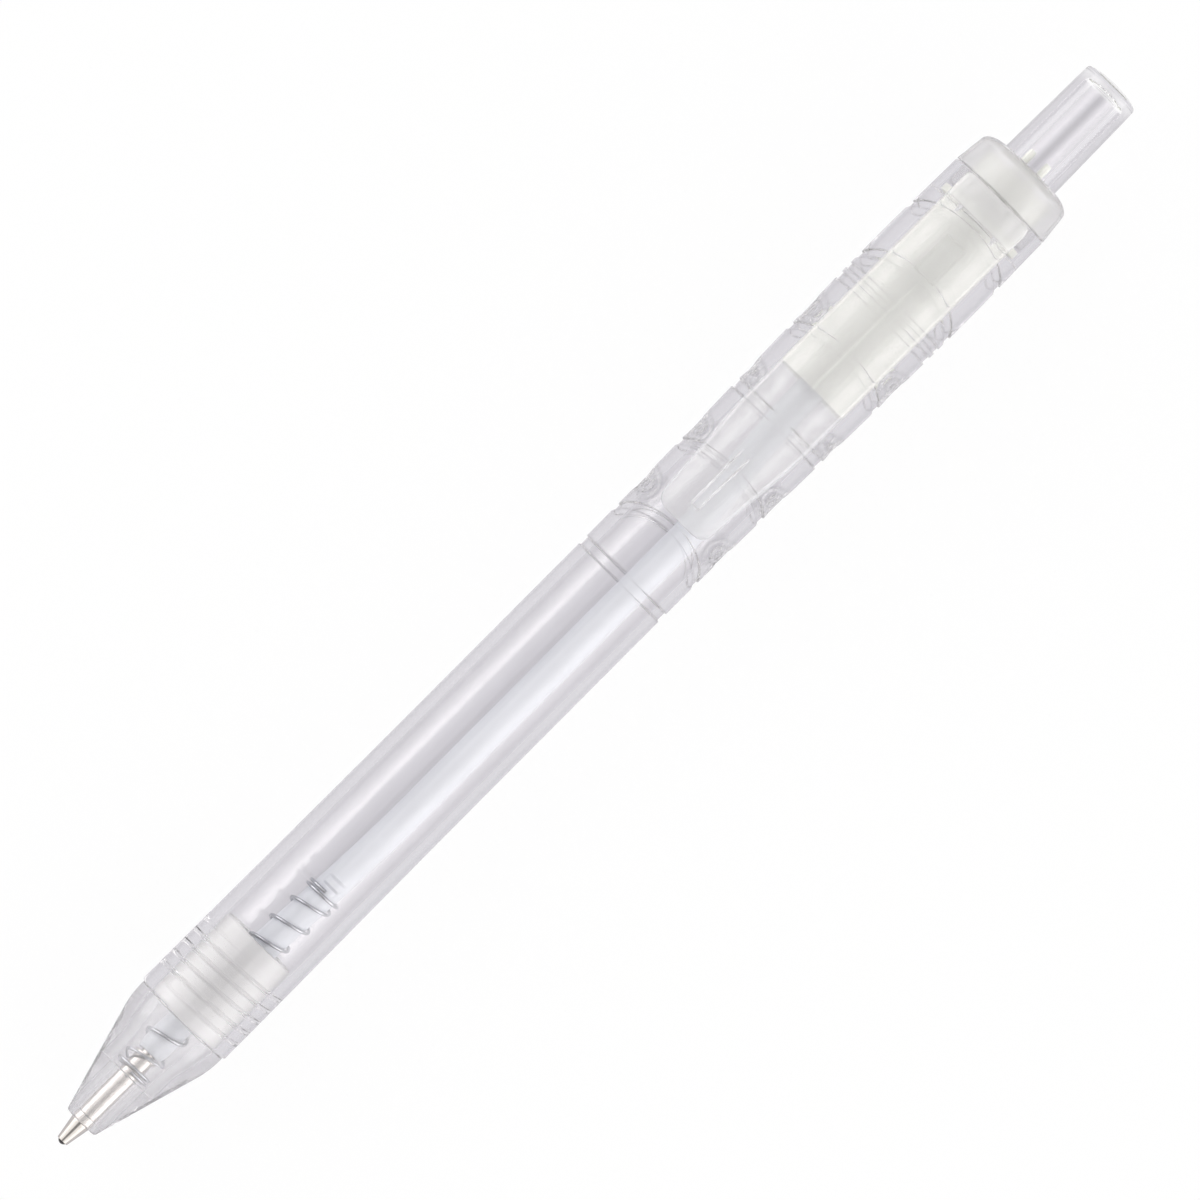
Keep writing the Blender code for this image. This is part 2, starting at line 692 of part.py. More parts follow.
def make_filling(name, front, rear, refill_slide):
    """A column that fills the tube's bore between two stations."""
    profile = [(s, INK_R) for s in bent_stations(front, rear)]
    bm = turned(lambda angle: profile, FINE_FACETS, lean, closed=False)
    piece(name, bm, refill_slide, axis_point(front))


def make_tip(refill_slide):
    """The writing tip: a lip round the ball, a cone, a shank, a flange and a tail in the tube."""
    socket_r = BALL_R + BALL_FIT
    lip_r = math.sqrt(socket_r ** 2 - (BALL_R - BALL_SHOWS) ** 2)
    lip_angle = math.atan2(lip_r, BALL_SHOWS - BALL_R)
    channel_angle = math.asin(INK_CHANNEL_R / socket_r)
    socket = arc(BALL_R, 0.0, socket_r, channel_angle, lip_angle, 6)
    cone_end = BALL_SHOWS + TIP_CONE_LENGTH
    flange_rear = TIP_LENGTH + TIP_FLANGE
    flange_r = TIP_R + TIP_FLANGE_WALL
    tail_rear = TUBE_FRONT + TIP_TAIL
    profile = [
        *socket,
        (BALL_SHOWS, lip_r + LIP_WALL),
        (cone_end, TIP_R),
        (TIP_LENGTH, TIP_R),
        (TIP_LENGTH, flange_r),
        (flange_rear, flange_r),
        (flange_rear, INK_R),
        (tail_rear, INK_R),
        (tail_rear, INK_CHANNEL_R),
    ]
    bm = turned(lambda angle: profile, FINE_FACETS)
    piece("writing_tip", bm, refill_slide, axis_point(TIP_LENGTH))


def make_ball(ball_roll):
    """The writing ball."""
    bm = bmesh.new()
    bmesh.ops.create_uvsphere(bm, u_segments=FINE_FACETS, v_segments=FINE_FACETS // 2, radius=BALL_R)
    bmesh.ops.translate(bm, verts=bm.verts, vec=axis_point(BALL_R))
    piece("ball", bm, ball_roll, axis_point(BALL_R))


def spring_advance(turn):
    """The wire's place along the spring after some turns: closed coils at both ends, open ones between."""
    closed_pitch = 2 * WIRE_R + CLOSED_PITCH_GAP
    closed = SPRING_CLOSED_TURNS * closed_pitch
    run = SPRING_LENGTH - 2 * WIRE_R - 2 * closed
    into_open = min(max(turn - SPRING_CLOSED_TURNS, 0.0), SPRING_OPEN_TURNS)
    in_closed = turn - into_open
    return WIRE_R + closed_pitch * in_closed + run * into_open / SPRING_OPEN_TURNS


def make_spring(pen):
    """The spring: round wire wound to the right along the bowed refill, as a skin of small rings."""
    turns = SPRING_OPEN_TURNS + 2 * SPRING_CLOSED_TURNS
    steps = round(turns * COIL_STEPS)
    rings = []
    for i in range(steps + 1):
        turn = turns * i / steps
        angle = -2 * math.pi * turn
        station = SPRING_FRONT + spring_advance(turn)
        radial = on_axis(0.0, 1.0, angle)
        centre = on_axis(station, SPRING_R, angle, lean(station))
        ring = []
        for side in angles(WIRE_SIDES):
            ring.append(centre + radial * WIRE_R * math.cos(side) + axis_point(WIRE_R * math.sin(side)))
        rings.append(ring)
    piece("spring", skin(rings, False), pen, axis_point(SPRING_FRONT))


def clip_half_width(station):
    """Half the blade's width: rounded corners at the free end, a taper, then parallel sides."""
    from_end = station - CLIP_FREE_END
    share = smooth_step(from_end / CLIP_TAPER_LENGTH)
    half_width = between(CLIP_END_HALF_WIDTH, CLIP_HALF_WIDTH, share)
    into_corner = max(0.0, CLIP_CORNER - from_end)
    return half_width - CLIP_CORNER + math.sqrt(CLIP_CORNER ** 2 - into_corner ** 2)


def make_clip(clip_hinge):
    """The clip: a flat blade with bevelled edges, a wedge rib under its free end and a foot at its root."""
    corner = [CLIP_CORNER * (1 - math.cos(math.pi / 2 * i / 5)) for i in range(6)]
    taper = [between(CLIP_CORNER, CLIP_TAPER_LENGTH, i / 5) for i in range(1, 6)]
    rings = []
    for from_end in [*corner, *taper, CLIP_LENGTH]:
        station = CLIP_FREE_END + from_end
        half = clip_half_width(station)
        section = (
            (-half, CLIP_UNDER),
            (half, CLIP_UNDER),
            (half, CLIP_TOP - CLIP_EDGE),
            (half - CLIP_EDGE, CLIP_TOP),
            (-half + CLIP_EDGE, CLIP_TOP),
            (-half, CLIP_TOP - CLIP_EDGE),
        )
        rings.append([Vector((station, y, z)) for y, z in section])
    origin = CLIP_HINGE
    clip = piece("clip", skin(rings, False), clip_hinge, origin)
    into_blade = CLIP_UNDER + CLIP_THICK / 2
    foot = box(FOOT_FRONT, FOOT_REAR - FOOT_EDGE, FOOT_HALF_WIDTH, FOOT_UNDER, into_blade)
    rib_front = CLIP_FREE_END + RIB_FROM_END
    toe_rear = rib_front + RIB_TOE
    contact = base_radius(toe_rear) + SEAT_GAP
    run = ((rib_front, contact), (toe_rear, contact), (rib_front + RIB_LENGTH, CLIP_UNDER - RIB_RUNOUT))
    rib_rings = []
    for station, low in run:
        section = ((-RIB_HALF_WIDTH, low), (RIB_HALF_WIDTH, low),
                   (RIB_HALF_WIDTH, into_blade), (-RIB_HALF_WIDTH, into_blade))
        rib_rings.append([Vector((station, y, z)) for y, z in section])
    combine(clip, piece("clip_foot", foot, clip_hinge, origin), "UNION")
    combine(clip, piece("clip_rib", skin(rib_rings, False), clip_hinge, origin), "UNION")


def main():
    """Builds the pen on its axis, in a frame centred under it where it lies."""
    for thing in list(bpy.data.objects):
        bpy.data.objects.remove(thing)

    pen = empty("pen", None, Vector((-PEN_LENGTH / 2, 0, AXIS_HEIGHT)))
    button_slide = empty("button_slide", pen, axis_point(BUTTON_FRONT))
    refill_slide = empty("refill_slide", pen, axis_point(TIP_LENGTH))
    cam_turn = empty("cam_turn", pen, axis_point(CAM_FRONT))
    ball_roll = empty("ball_roll", pen, axis_point(BALL_R))
    clip_hinge = empty("clip_hinge", pen, CLIP_HINGE)

    make_barrel(pen)
    make_nose(pen)
    make_cap(pen)
    make_clip(clip_hinge)
    make_button(button_slide)
    make_plunger(button_slide)
    make_sleeve(pen)
    make_cam(cam_turn)
    make_tube(refill_slide)
    make_filling("ink_column", INK_FRONT, INK_FRONT + INK_LENGTH, refill_slide)
    make_filling("ink_follower", FOLLOWER_FRONT, FOLLOWER_FRONT + FOLLOWER_LENGTH, refill_slide)
    make_tip(refill_slide)
    make_ball(ball_roll)
    make_spring(pen)


main()
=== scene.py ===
"""Clear pushbutton ballpoint pen: the looks of every piece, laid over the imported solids.

Shapes are worked out in millimetres in the pen's own frame: a station along the axis, counted from the
front of the ball, then the offset to the side and the height over the axis. skin() sets them in the model.
"""
import math

import bpy
import numpy as np
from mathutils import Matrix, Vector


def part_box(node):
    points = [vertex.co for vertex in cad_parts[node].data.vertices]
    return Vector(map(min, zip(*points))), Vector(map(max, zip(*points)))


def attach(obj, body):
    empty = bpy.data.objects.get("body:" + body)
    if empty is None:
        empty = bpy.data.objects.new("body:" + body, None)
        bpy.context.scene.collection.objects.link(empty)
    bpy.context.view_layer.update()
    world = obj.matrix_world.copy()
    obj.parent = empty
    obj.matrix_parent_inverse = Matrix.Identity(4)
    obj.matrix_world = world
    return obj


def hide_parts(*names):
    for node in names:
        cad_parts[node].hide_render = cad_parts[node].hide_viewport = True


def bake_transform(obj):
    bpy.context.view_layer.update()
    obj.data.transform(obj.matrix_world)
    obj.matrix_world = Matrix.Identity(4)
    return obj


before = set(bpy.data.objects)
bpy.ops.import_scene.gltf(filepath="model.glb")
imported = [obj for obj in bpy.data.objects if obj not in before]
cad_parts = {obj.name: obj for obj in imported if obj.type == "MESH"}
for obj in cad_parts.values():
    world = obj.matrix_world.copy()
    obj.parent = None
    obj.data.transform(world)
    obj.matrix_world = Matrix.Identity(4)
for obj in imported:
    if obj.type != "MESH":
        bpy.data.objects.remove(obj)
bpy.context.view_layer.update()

bl_info = {
    "name": "Clear Ballpoint Pen",
    "version": (1, 0, 0),
    "blender": (4, 5, 0),
    "location": "View3D > Sidebar > Pen",
    "description": "Dresses a clear pushbutton ballpoint pen and sets it on a white studio floor",
    "category": "Add Mesh",
}

MM = 0.001
TURN = 2 * math.pi
SHARP = math.radians(32)

# The pen's frame in the model: the ball's front, and the axis through the button.
BALL_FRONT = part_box("ball")[0].x
AXIS_HEIGHT = (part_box("push_button")[0].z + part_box("push_button")[1].z) / 2


def stations(node):
    """The front and rear station of a solid."""
    low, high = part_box(node)
    return (low.x - BALL_FRONT) / MM, (high.x - BALL_FRONT) / MM


NOSE_FRONT, SPIGOT_REAR = stations("nose_cone")
BARREL_FRONT, BARREL_REAR = stations("barrel")
SKIRT_FRONT, CAP_REAR = stations("end_cap")
CLIP_END, CLIP_ROOT = stations("clip")
BUTTON_FRONT, PEN_LENGTH = stations("push_button")
SLEEVE_FRONT, SLEEVE_REAR = stations("guide_sleeve")
PLUNGER_FRONT, PLUNGER_REAR = stations("ratchet_plunger")
CAM_FRONT, CAM_REAR = stations("rotating_cam")
TUBE_FRONT, TUBE_REAR = stations("refill_tube")
SPRING_FRONT, SPRING_REAR = stations("spring")
TIP_FRONT, TIP_REAR = stations("writing_tip")

# The gap between seated solids, and the depth of the barrel's mouth.
SEAT_GAP, MOUTH_DEPTH = 0.3, 3.5
NOSE_REAR, MOUTH_FLOOR = BARREL_FRONT - SEAT_GAP, BARREL_REAR - MOUTH_DEPTH

# The nose and the cap close up to the barrel's ends, so that each joint is a fine line.
JOINT = 0.06
NOSE_SEAT, CAP_SEAT = BARREL_FRONT - JOINT, BARREL_REAR + JOINT

# Radii of the pieces. A core is the small ring that closes a solid piece at its axis.
GRIP_R, WAIST_R, FLARE_R, MOUTH_R = 5.44, 5.31, 5.89, 5.73
BORE_R, MOUTH_BORE_R = 4.25, 5.0
SPIGOT_R, SKIRT_R = BORE_R - 0.2, 4.8
SLOT_R, LAND_R = 3.3, 2.75
KEY_R, CROWN_R, STEM_R = 3.1, 2.55, 1.4
HUB_R, CORE_R = CROWN_R / 2, 0.05
BUTTON_R = 3.25
TUBE_R, TUBE_BORE_R, INK_R = 1.5, 1.0, 0.8
TIP_R, BALL_R = 1.06, 0.5
SPRING_R, SPRING_OUTER_R = 1.82, 2.02

# The barrel slims behind its front, widens from a distance before its mouth and closes at it.
SLIM_RUN, FLARE_DISTANCE, FLARE_RUN, CLOSE_RUN = 36.0, 50.0, 40.0, 10.0

# Length of the barrel's part with relief, and rounding of its two lips.
RELIEF_LENGTH, LIP = 52.0, 0.2

# The seat in the mouth for the clip's foot: its front, half its width and its floor.
SADDLE_FRONT, SADDLE_HALF, SADDLE_R = CLIP_ROOT - 3.1, 3.2, 5.05

# Grooves of the upper barrel: station on the pen's sides, written as the distance from the mouth,
# bulge towards the mouth over and under, width.
GROOVES = np.array([
    (50.7, 0.0, 1.0), (46.4, 2.4, 0.9), (37.7, 1.5, 0.9), (29.9, 0.0, 1.0), (22.5, 1.6, 0.9),
    (15.7, 0.0, 0.8), (14.4, 0.0, 0.6), (13.1, 2.4, 0.9), (6.3, 1.9, 0.9),
])
GROOVES[:, 0] = BARREL_REAR - GROOVES[:, 0]

# Oval dimples on both sides: station, from the mouth too, half length, rings of ripple, turns of the swirl.
DIMPLES = np.array([
    (42.7, 2.1, 3.0, 0.0), (35.5, 2.0, 3.0, 1.0), (28.0, 1.6, 2.0, 0.0), (19.9, 2.1, 3.0, 1.0),
])
DIMPLES[:, 0] = BARREL_REAR - DIMPLES[:, 0]
DIMPLE_HALF_ANGLE = math.radians(36)

# Their rings lie over and under the pen's sides: angle from the side to their middle, and half their spread.
RING_LIFT, RING_HALF_ANGLE = math.radians(24), math.radians(30)

# The screw thread between barrel and nose, and the run over which it fades out.
THREAD_FRONT, THREAD_REAR, THREAD_FADE = 17.7, 25.5, 0.8

# The clip: half widths of its free end and its blade, run of the taper between them, rounding of its corners
# seen from above, heights of its under side and its top over the axis.
FREE_HALF, CLIP_HALF, CLIP_TAPER = 3.2, 4.05, 13.5
FREE_CORNER, ROOT_CORNER = 1.45, 0.9
CLIP_UNDER, CLIP_TOP = 7.09, 8.39

# Stations of the sleeve's flange, its inner stop, its window, the end of its parting line and its lands'
# slanted front, then of the plunger's keys and shoulder and of the cam's splines.
FLANGE_FRONT, FLANGE_REAR = 123.2, 124.0
STOP_FRONT, STOP_REAR = 120.75, 121.9
WINDOW_FRONT, WINDOW_REAR = 115.9, 120.5
PARTING_REAR = 115.0
LAND_FRONT, LAND_SLANT = 108.7, 1.0
KEY_FRONT, KEY_REAR, SHOULDER = 112.0, 114.6, 123.1
SPLINE_FRONT, SPLINE_REAR = 105.8, 108.4

# The click mechanism's slots, the share of the circle that lands and keys take, its teeth and their height.
SLOTS, LAND_SHARE, KEY_SHARE = 4, 0.3, 0.3
TEETH, TOOTH = 8, 0.9
MECHANISM_COLUMNS = 128

# The bowed refill: how far it lies to the side, and the runs over which it gets there and back.
LEAN, LEAN_RISE, LEAN_FALL = 1.40, 33.5, 18.0

# Roughness of polished clear plastic and of the hazier cap, and two whites with their alpha.
POLISHED, HAZY = 0.015, 0.05
PLAIN_WHITE = (1.0, 1.0, 1.0, 1.0)
MATTE_WHITE = (0.94, 0.94, 0.93, 1.0)


def length(name, millimetres, description):
    """A length that a user may change."""
    return bpy.props.FloatProperty(name=name, description=description, default=millimetres * MM,
                                   min=0.0, precision=5, unit="LENGTH")


def tint(name, colour, description):
    """A colour that a user may change."""
    return bpy.props.FloatVectorProperty(name=name, description=description, default=colour,
                                         size=3, min=0.0, max=1.0, subtype="COLOR")


def share(name, value, description):
    """A share from 0 to 1 that a user may change."""
    return bpy.props.FloatProperty(name=name, description=description, default=value,
                                   min=0.0, max=1.0, subtype="FACTOR")


def brightness(name, value, description):
    """A light's strength that a user may change."""
    return bpy.props.FloatProperty(name=name, description=description, default=value, min=0.0)


class PenShape(bpy.types.PropertyGroup):
    """Sizes of the relief and of the small forms."""

    groove_depth: length("Groove depth", 0.19, "Depth of the grooves round the upper barrel")
    dimple_depth: length("Dimple depth", 0.09, "Depth of the oval dimples at the barrel's sides")
    ripple: length("Ripple", 0.09, "Depth of the rings over and under the dimples")
    thread_pitch: length("Thread pitch", 1.45, "Advance of the nose's screw thread in one turn")
    thread_depth: length("Thread depth", 0.16, "Height of the nose's screw thread")
    edge: length("Edge rounding", 0.12, "Rounding of the moulded edges")
    wire: length("Wire", 0.34, "Thickness of the spring's wire")
    parting: length("Parting line", 0.1, "Height of the sleeve's parting line")


class PenFinish(bpy.types.PropertyGroup):
    """Colours and gloss of the materials."""

    clear: tint("Clear plastic", (0.962, 0.958, 0.968), "Tint of the barrel, nose, cap and button")
    clip: tint("Clip plastic", (0.965, 0.965, 0.97), "Tint of the slightly frosted clip")
    clip_frost: share("Clip frost", 0.09, "Roughness of the clip")
    clip_milk: share("Clip milk", 0.2, "Share of plain white in the clip")
    nose_milk: share("Nose milk", 0.1, "Share of plain white in the nose cone")
    cap_milk: share("Cap milk", 0.22, "Share of plain white in the end cap")
    spigot_frost: share("Spigot frost", 0.6, "Roughness added on the nose's spigot")
    spigot_veil: share("Spigot veil", 0.5, "Share of matte white on the nose's spigot")
    foot_veil: share("Foot veil", 0.2, "Share of matte white at the clip's foot")
    cap_veil: share("Cap veil", 0.1, "Share of matte white on the end cap")
    white: tint("White plastic", (0.83, 0.845, 0.775), "Colour of the click mechanism")
    tube: tint("Refill tube", (0.74, 0.76, 0.80), "Colour of the milky refill tube")
    ink: tint("Ink", (0.012, 0.03, 0.30), "Colour of the ink")
    grease: tint("Grease", (0.75, 0.68, 0.48), "Colour of the plug behind the ink")
    nickel: tint("Nickel silver", (0.71, 0.675, 0.64), "Colour of the writing tip")
    steel: tint("Spring steel", (0.56, 0.57, 0.60), "Colour of the spring")
    ball: tint("Ball", (0.16, 0.155, 0.15), "Colour of the writing ball")


class PenStage(bpy.types.PropertyGroup):
    """The studio round the pen."""

    distance: length("Camera distance", 949.9, "Height of the camera over the pen's axis")
    lens: bpy.props.FloatProperty(name="Lens", description="Focal length of the camera", default=300.0,
                                  min=1.0, unit="CAMERA")
    turn: bpy.props.FloatProperty(name="Turn", description="Turn of the camera about the vertical",
                                  default=math.radians(-45.085), subtype="ANGLE")
    overhead: brightness("Overhead light", 1.17, "Brightness of the studio straight above")
    horizon: brightness("Horizon light", 0.85, "Brightness of the studio at the floor's edge")
    sides: brightness("Side light", 2.95, "Brightness of the two soft boxes")
    glow: share("Floor glow", 0.95, "Share of plain white in the floor as the eye sees it")
    # Seen in the plastic the floor shows painted shade: a painted shadow under the pen, a dimmer tone beside
    # it.
    inner_glow: share("Inner floor glow", 0.85, "Share of plain colour in the floor seen in the plastic")
    near_shadow_tone: tint("Near floor tone", (0.62, 0.607, 0.642), "Floor under the pen, seen in the plastic")
    far_shade_tone: tint("Far floor tone", (0.73, 0.72, 0.75), "Floor beside the pen, seen in the plastic")


def smooth(value):
    """Smooth step of an array: 0 below 0, 1 above 1, level at both ends."""
    value = np.clip(value, 0.0, 1.0)
    return value * value * (3 - 2 * value)


def around(columns):
    """Angles round the pen's axis, from the clip side towards +Y."""
    return TURN * np.arange(columns) / columns


def lean(station):
    """How far the bowed refill lies towards -Y: it grows behind the tip and ends before the cam."""
    grows = smooth((station - TUBE_FRONT) / LEAN_RISE)
    ends = smooth((SLEEVE_FRONT - 1.5 - station) / LEAN_FALL)
    return LEAN * np.minimum(grows, ends)


def level_run(along, radius):
    """Profile points at stations along the axis, all at one radius."""
    return np.stack([along, np.full_like(along, radius)], -1)


def round_axis(station, radius, angle, offset=0.0):
    """Points at a radius and an angle round the axis, or round a line that lies offset towards -Y."""
    side = radius * np.sin(angle) - offset
    return np.stack(np.broadcast_arrays(station, side, radius * np.cos(angle)), -1)


def rounded(corners, closed=True, steps=5, most=0.45, margin=1.1):
    """A profile through corners (station, radius, rounding).

    Each corner is cut back along its two edges by its rounding, but no more than a share of the shorter
    edge, and the cut is bridged by a quadratic curve that leaves both edges in line. A point outside each
    cut, by a margin, keeps the faces beside it flat.
    """
    corners = np.array(corners, float)
    points, rounding = corners[:, :2], corners[:, 2:]
    back = np.roll(points, 1, axis=0) - points
    ahead = np.roll(points, -1, axis=0) - points
    back_length = np.linalg.norm(back, axis=1, keepdims=True)
    ahead_length = np.linalg.norm(ahead, axis=1, keepdims=True)
    cut = np.minimum(rounding, most * np.minimum(back_length, ahead_length))
    if not closed:
        cut[[0, -1]] = 0.0
    start = points + back / back_length * cut
    end = points + ahead / ahead_length * cut
    t = np.linspace(0.0, 1.0, steps)[None, :, None]
    curve = (1 - t) ** 2 * start[:, None] + 2 * t * (1 - t) * points[:, None] + t ** 2 * end[:, None]
    before = points + back / back_length * (margin * cut)
    after = points + ahead / ahead_length * (margin * cut)
    rows = np.concatenate([before[:, None], curve, after[:, None]], axis=1)
    return np.concatenate([rows[i] if cut[i, 0] > 0 else points[i:i + 1] for i in range(len(points))])


def turned(profile, columns, relief=None, bowed=False):
    """A profile (station, radius) turned round the axis, with relief(station, angle) added to the radius.

    A bowed piece turns round the refill's own line, which lies lean(station) to the side.
    """
    station, radius = profile[:, 0:1], profile[:, 1:2]
    angle = around(columns)[None, :]
    if relief is not None:
        radius = radius + relief(station, angle)
    return round_axis(station, radius, angle, lean(station) if bowed else 0.0)


def skin(name, points, loop=True, painted_light=None):
    """A closed mesh over a grid of points (rows, columns, 3).

    Columns always run round. Rows run on into the first one in a loop; otherwise a fan round the middle
    of each end row closes it. Faces are turned so that the enclosed volume is positive. A share of painted
    light from 0 to 1 for each point of a loop is kept as an attribute: painted shade on clear plastic and a
    painted highlight on white.
    """
    rows, columns = points.shape[:2]
    index = np.arange(rows * columns).reshape(rows, columns)
    here = index if loop else index[:-1]
    there = np.roll(index, -1, axis=0) if loop else index[1:]
    quads = np.stack([here, np.roll(here, -1, 1), np.roll(there, -1, 1), there], -1).reshape(-1, 4)
    vertices = points.reshape(-1, 3)
    fans = np.zeros((0, 3), int)
    if not loop:
        middles = points[[0, -1]].mean(axis=1)
        first = np.stack([np.full(columns, len(vertices)), np.roll(index[0], -1), index[0]], -1)
        last = np.stack([np.full(columns, len(vertices) + 1), index[-1], np.roll(index[-1], -1)], -1)
        fans = np.concatenate([first, last])
        vertices = np.concatenate([vertices, middles])
    triangles = np.concatenate([quads[:, [0, 1, 2]], quads[:, [0, 2, 3]], fans])
    a, b, c = (vertices[triangles[:, k]] for k in range(3))
    if np.einsum("ij,ij->", a, np.cross(b, c)) < 0:
        quads, fans = quads[:, ::-1], fans[:, ::-1]
    placed = vertices * MM + (BALL_FRONT, 0.0, AXIS_HEIGHT)
    starts = np.concatenate([4 * np.arange(len(quads)), 4 * len(quads) + 3 * np.arange(len(fans))])
    mesh = bpy.data.meshes.new(name)
    mesh.vertices.add(len(placed))
    mesh.vertices.foreach_set("co", placed.ravel())
    mesh.loops.add(quads.size + fans.size)
    mesh.loops.foreach_set("vertex_index", np.concatenate([quads.ravel(), fans.ravel()]))
    mesh.polygons.add(len(starts))
    mesh.polygons.foreach_set("loop_start", starts)
    mesh.update(calc_edges=True)
    mesh.validate()
    # Painted light: a share from 0 to 1 that the materials turn into painted shade or a painted highlight.
    if painted_light is not None:
        mesh.attributes.new("painted_light", "FLOAT", "POINT").data.foreach_set("value", painted_light.ravel())
    mesh.shade_smooth()
    mesh.set_sharp_from_angle(angle=SHARP)
    thing = bpy.data.objects.new(name, mesh)
    bpy.context.scene.collection.objects.link(thing)
    return thing


def dress(thing, material, node, body=None):
    """Gives a piece its material in a slot, hides the solid it stands in for, and sets it on its body if one
    is given.
    """
    thing.data.materials.append(material)
    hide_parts(node)
    if body:
        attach(thing, body)


class Field:
    """A shader value in Python expressions: each operator adds the Math node that works it out."""

    def __init__(self, graph, socket):
        self.graph = graph
        self.socket = socket

    def out(self, name):
        """Another output of the same node."""
        return Field(self.graph, self.socket.node.outputs[name])

    def math(self, operation, *others):
        """A Math node on this value and others."""
        return self.graph.add("ShaderNodeMath", {"operation": operation}, dict(enumerate((self, *others))))

    def __add__(self, other):
        return self.math("ADD", other)

    def __mul__(self, other):
        return self.math("MULTIPLY", other)

    def __rsub__(self, other):
        return self.math("MULTIPLY", -1.0).math("ADD", other)

    def __abs__(self):
        return self.math("ABSOLUTE")

    __radd__ = __add__
    __rmul__ = __mul__

    def ramp(self, low, high):
        """A smooth step of this value, from 0 at low to 1 at high."""
        return self.graph.add("ShaderNodeMapRange", {"interpolation_type": "SMOOTHSTEP"},
                              {0: self, 1: low, 2: high, 3: 0.0, 4: 1.0})


class Graph:
    """The nodes of one material or of the world."""

    def __init__(self, tree):
        tree.nodes.clear()
        self.tree = tree

    def add(self, kind, settings=None, sockets=None, output=0):
        """One node: its settings first, then the value or link of each named socket."""
        node = self.tree.nodes.new(kind)
        for name, value in (settings or {}).items():
            setattr(node, name, value)
        for key, value in (sockets or {}).items():
            if isinstance(value, Field):
                self.tree.links.new(value.socket, node.inputs[key])
            else:
                node.inputs[key].default_value = value
        return Field(self, node.outputs[output]) if node.outputs else None

    def place(self, stretch=(1.0, 1.0, 1.0)):
        """Object coordinates in millimetres, stretched."""
        coordinates = self.add("ShaderNodeTexCoord", output="Object")
        scale = tuple(1 / MM / s for s in stretch)
        return self.add("ShaderNodeMapping", {}, {"Vector": coordinates, "Scale": scale})

    def noise(self, size, stretch=(1.0, 1.0, 1.0), detail=2.0):
        """Cloudy variation from 0 to 1, with clouds of a size in millimetres."""
        return self.add("ShaderNodeTexNoise", {}, {"Vector": self.place(stretch), "Scale": 1 / size,
                                                   "Detail": detail})

    def mix(self, start, end, amount):
        """A colour between two others."""
        return self.add("ShaderNodeMix", {"data_type": "RGBA"}, {0: amount, 6: start, 7: end}, output=2)

    def bump(self, height, depth):
        """A bumped normal: the height field from 0 to 1 is depth millimetres deep."""
        return self.add("ShaderNodeBump", {}, {"Height": height, "Distance": depth * MM, "Strength": 1.0})


def surface(name, sockets, veil=None):
    """A new material with one Principled shader; sockets(graph) gives its values and links.

    A veil(graph) is the share of matte white that lies over it.
    """
    material = bpy.data.materials.new(name)
    material.use_nodes = True
    graph = Graph(material.node_tree)
    shader = graph.add("ShaderNodeBsdfPrincipled", {}, sockets(graph))
    if veil:
        matte = graph.add("ShaderNodeBsdfDiffuse", {}, {"Color": MATTE_WHITE})
        shader = graph.add("ShaderNodeMixShader", {}, {0: veil(graph), 1: shader, 2: matte})
    graph.add("ShaderNodeOutputMaterial", {}, {"Surface": shader})
    return material


def shade(colour, factor=1.0):
    """A colour with its alpha, multiplied by a factor."""
    return (*(channel * factor for channel in colour), 1.0)


def clear_plastic(name, colour, roughness, milk=0.0, frost=0.0, veil=0.0, veil_front=BARREL_FRONT):
    """Clear moulded plastic: faint flow lines along the pen, a slightly uneven gloss, shallow waves.

    Milk is its share of plain white. Behind the station of the veil's front it is rougher by frost, and the
    veil is the share of matte white that lies over it there. Where the mesh carries painted light, the
    colour is darkened by it: painted shade along groove edges and dimple rings.
    """
    flow_tone, painted_light_tone, wave_depth, veil_fade = 0.965, 0.66, 0.004, 0.3

    def veiled(graph):
        along = graph.add("ShaderNodeSeparateXYZ", {}, {0: graph.place()}, output="X")
        front = BALL_FRONT / MM + veil_front
        return along.ramp(front, front + veil_fade)

    def sockets(graph):
        painted_light = graph.add("ShaderNodeAttribute", {"attribute_name": "painted_light"}, output="Fac")
        flow = graph.noise(2.2, (5.0, 1.0, 1.0))
        tone = graph.mix(shade(colour), shade(colour, flow_tone), flow.ramp(0.3, 0.7))
        haze = graph.noise(0.35, (3.0, 1.0, 1.0), 4.0)
        gloss = roughness + 0.5 * roughness * haze
        if frost:
            gloss = gloss + frost * veiled(graph)
        return {
            # Painted shade: the colour darkens where the mesh's attribute is set, along groove edges and
            # dimple rings.
            "Base Color": graph.mix(tone, shade(colour, painted_light_tone), painted_light),
            "Roughness": gloss,
            "Normal": graph.bump(graph.noise(1.6, (6.0, 1.0, 1.0)), wave_depth),
            "Transmission Weight": 1.0 - milk,
            "IOR": 1.52,
        }
    return surface(name, sockets, (lambda graph: veil * veiled(graph)) if veil else None)


def opaque_plastic(name, colour, cloud_tone, roughness):
    """Opaque moulded plastic: cloudy, with a painted highlight where it is marked, and a fine spark-eroded
    texture.
    """
    painted_light_tone, grain_depth = 1.2, 0.006

    def sockets(graph):
        cloud = graph.noise(3.0, (4.0, 1.0, 1.0), 3.0)
        grain = graph.noise(0.12, detail=3.0)
        painted_light = graph.add("ShaderNodeAttribute", {"attribute_name": "painted_light"}, output="Fac")
        tone = graph.mix(shade(colour), shade(colour, cloud_tone), cloud.ramp(0.35, 0.8))
        return {
            # Painted highlight: the colour brightens where the mesh's attribute marks the sleeve's parting
            # line.
            "Base Color": graph.mix(tone, shade(colour, painted_light_tone), painted_light),
            "Roughness": roughness + 0.15 * grain,
            "Normal": graph.bump(grain, grain_depth),
            "IOR": 1.5,
        }
    return surface(name, sockets)


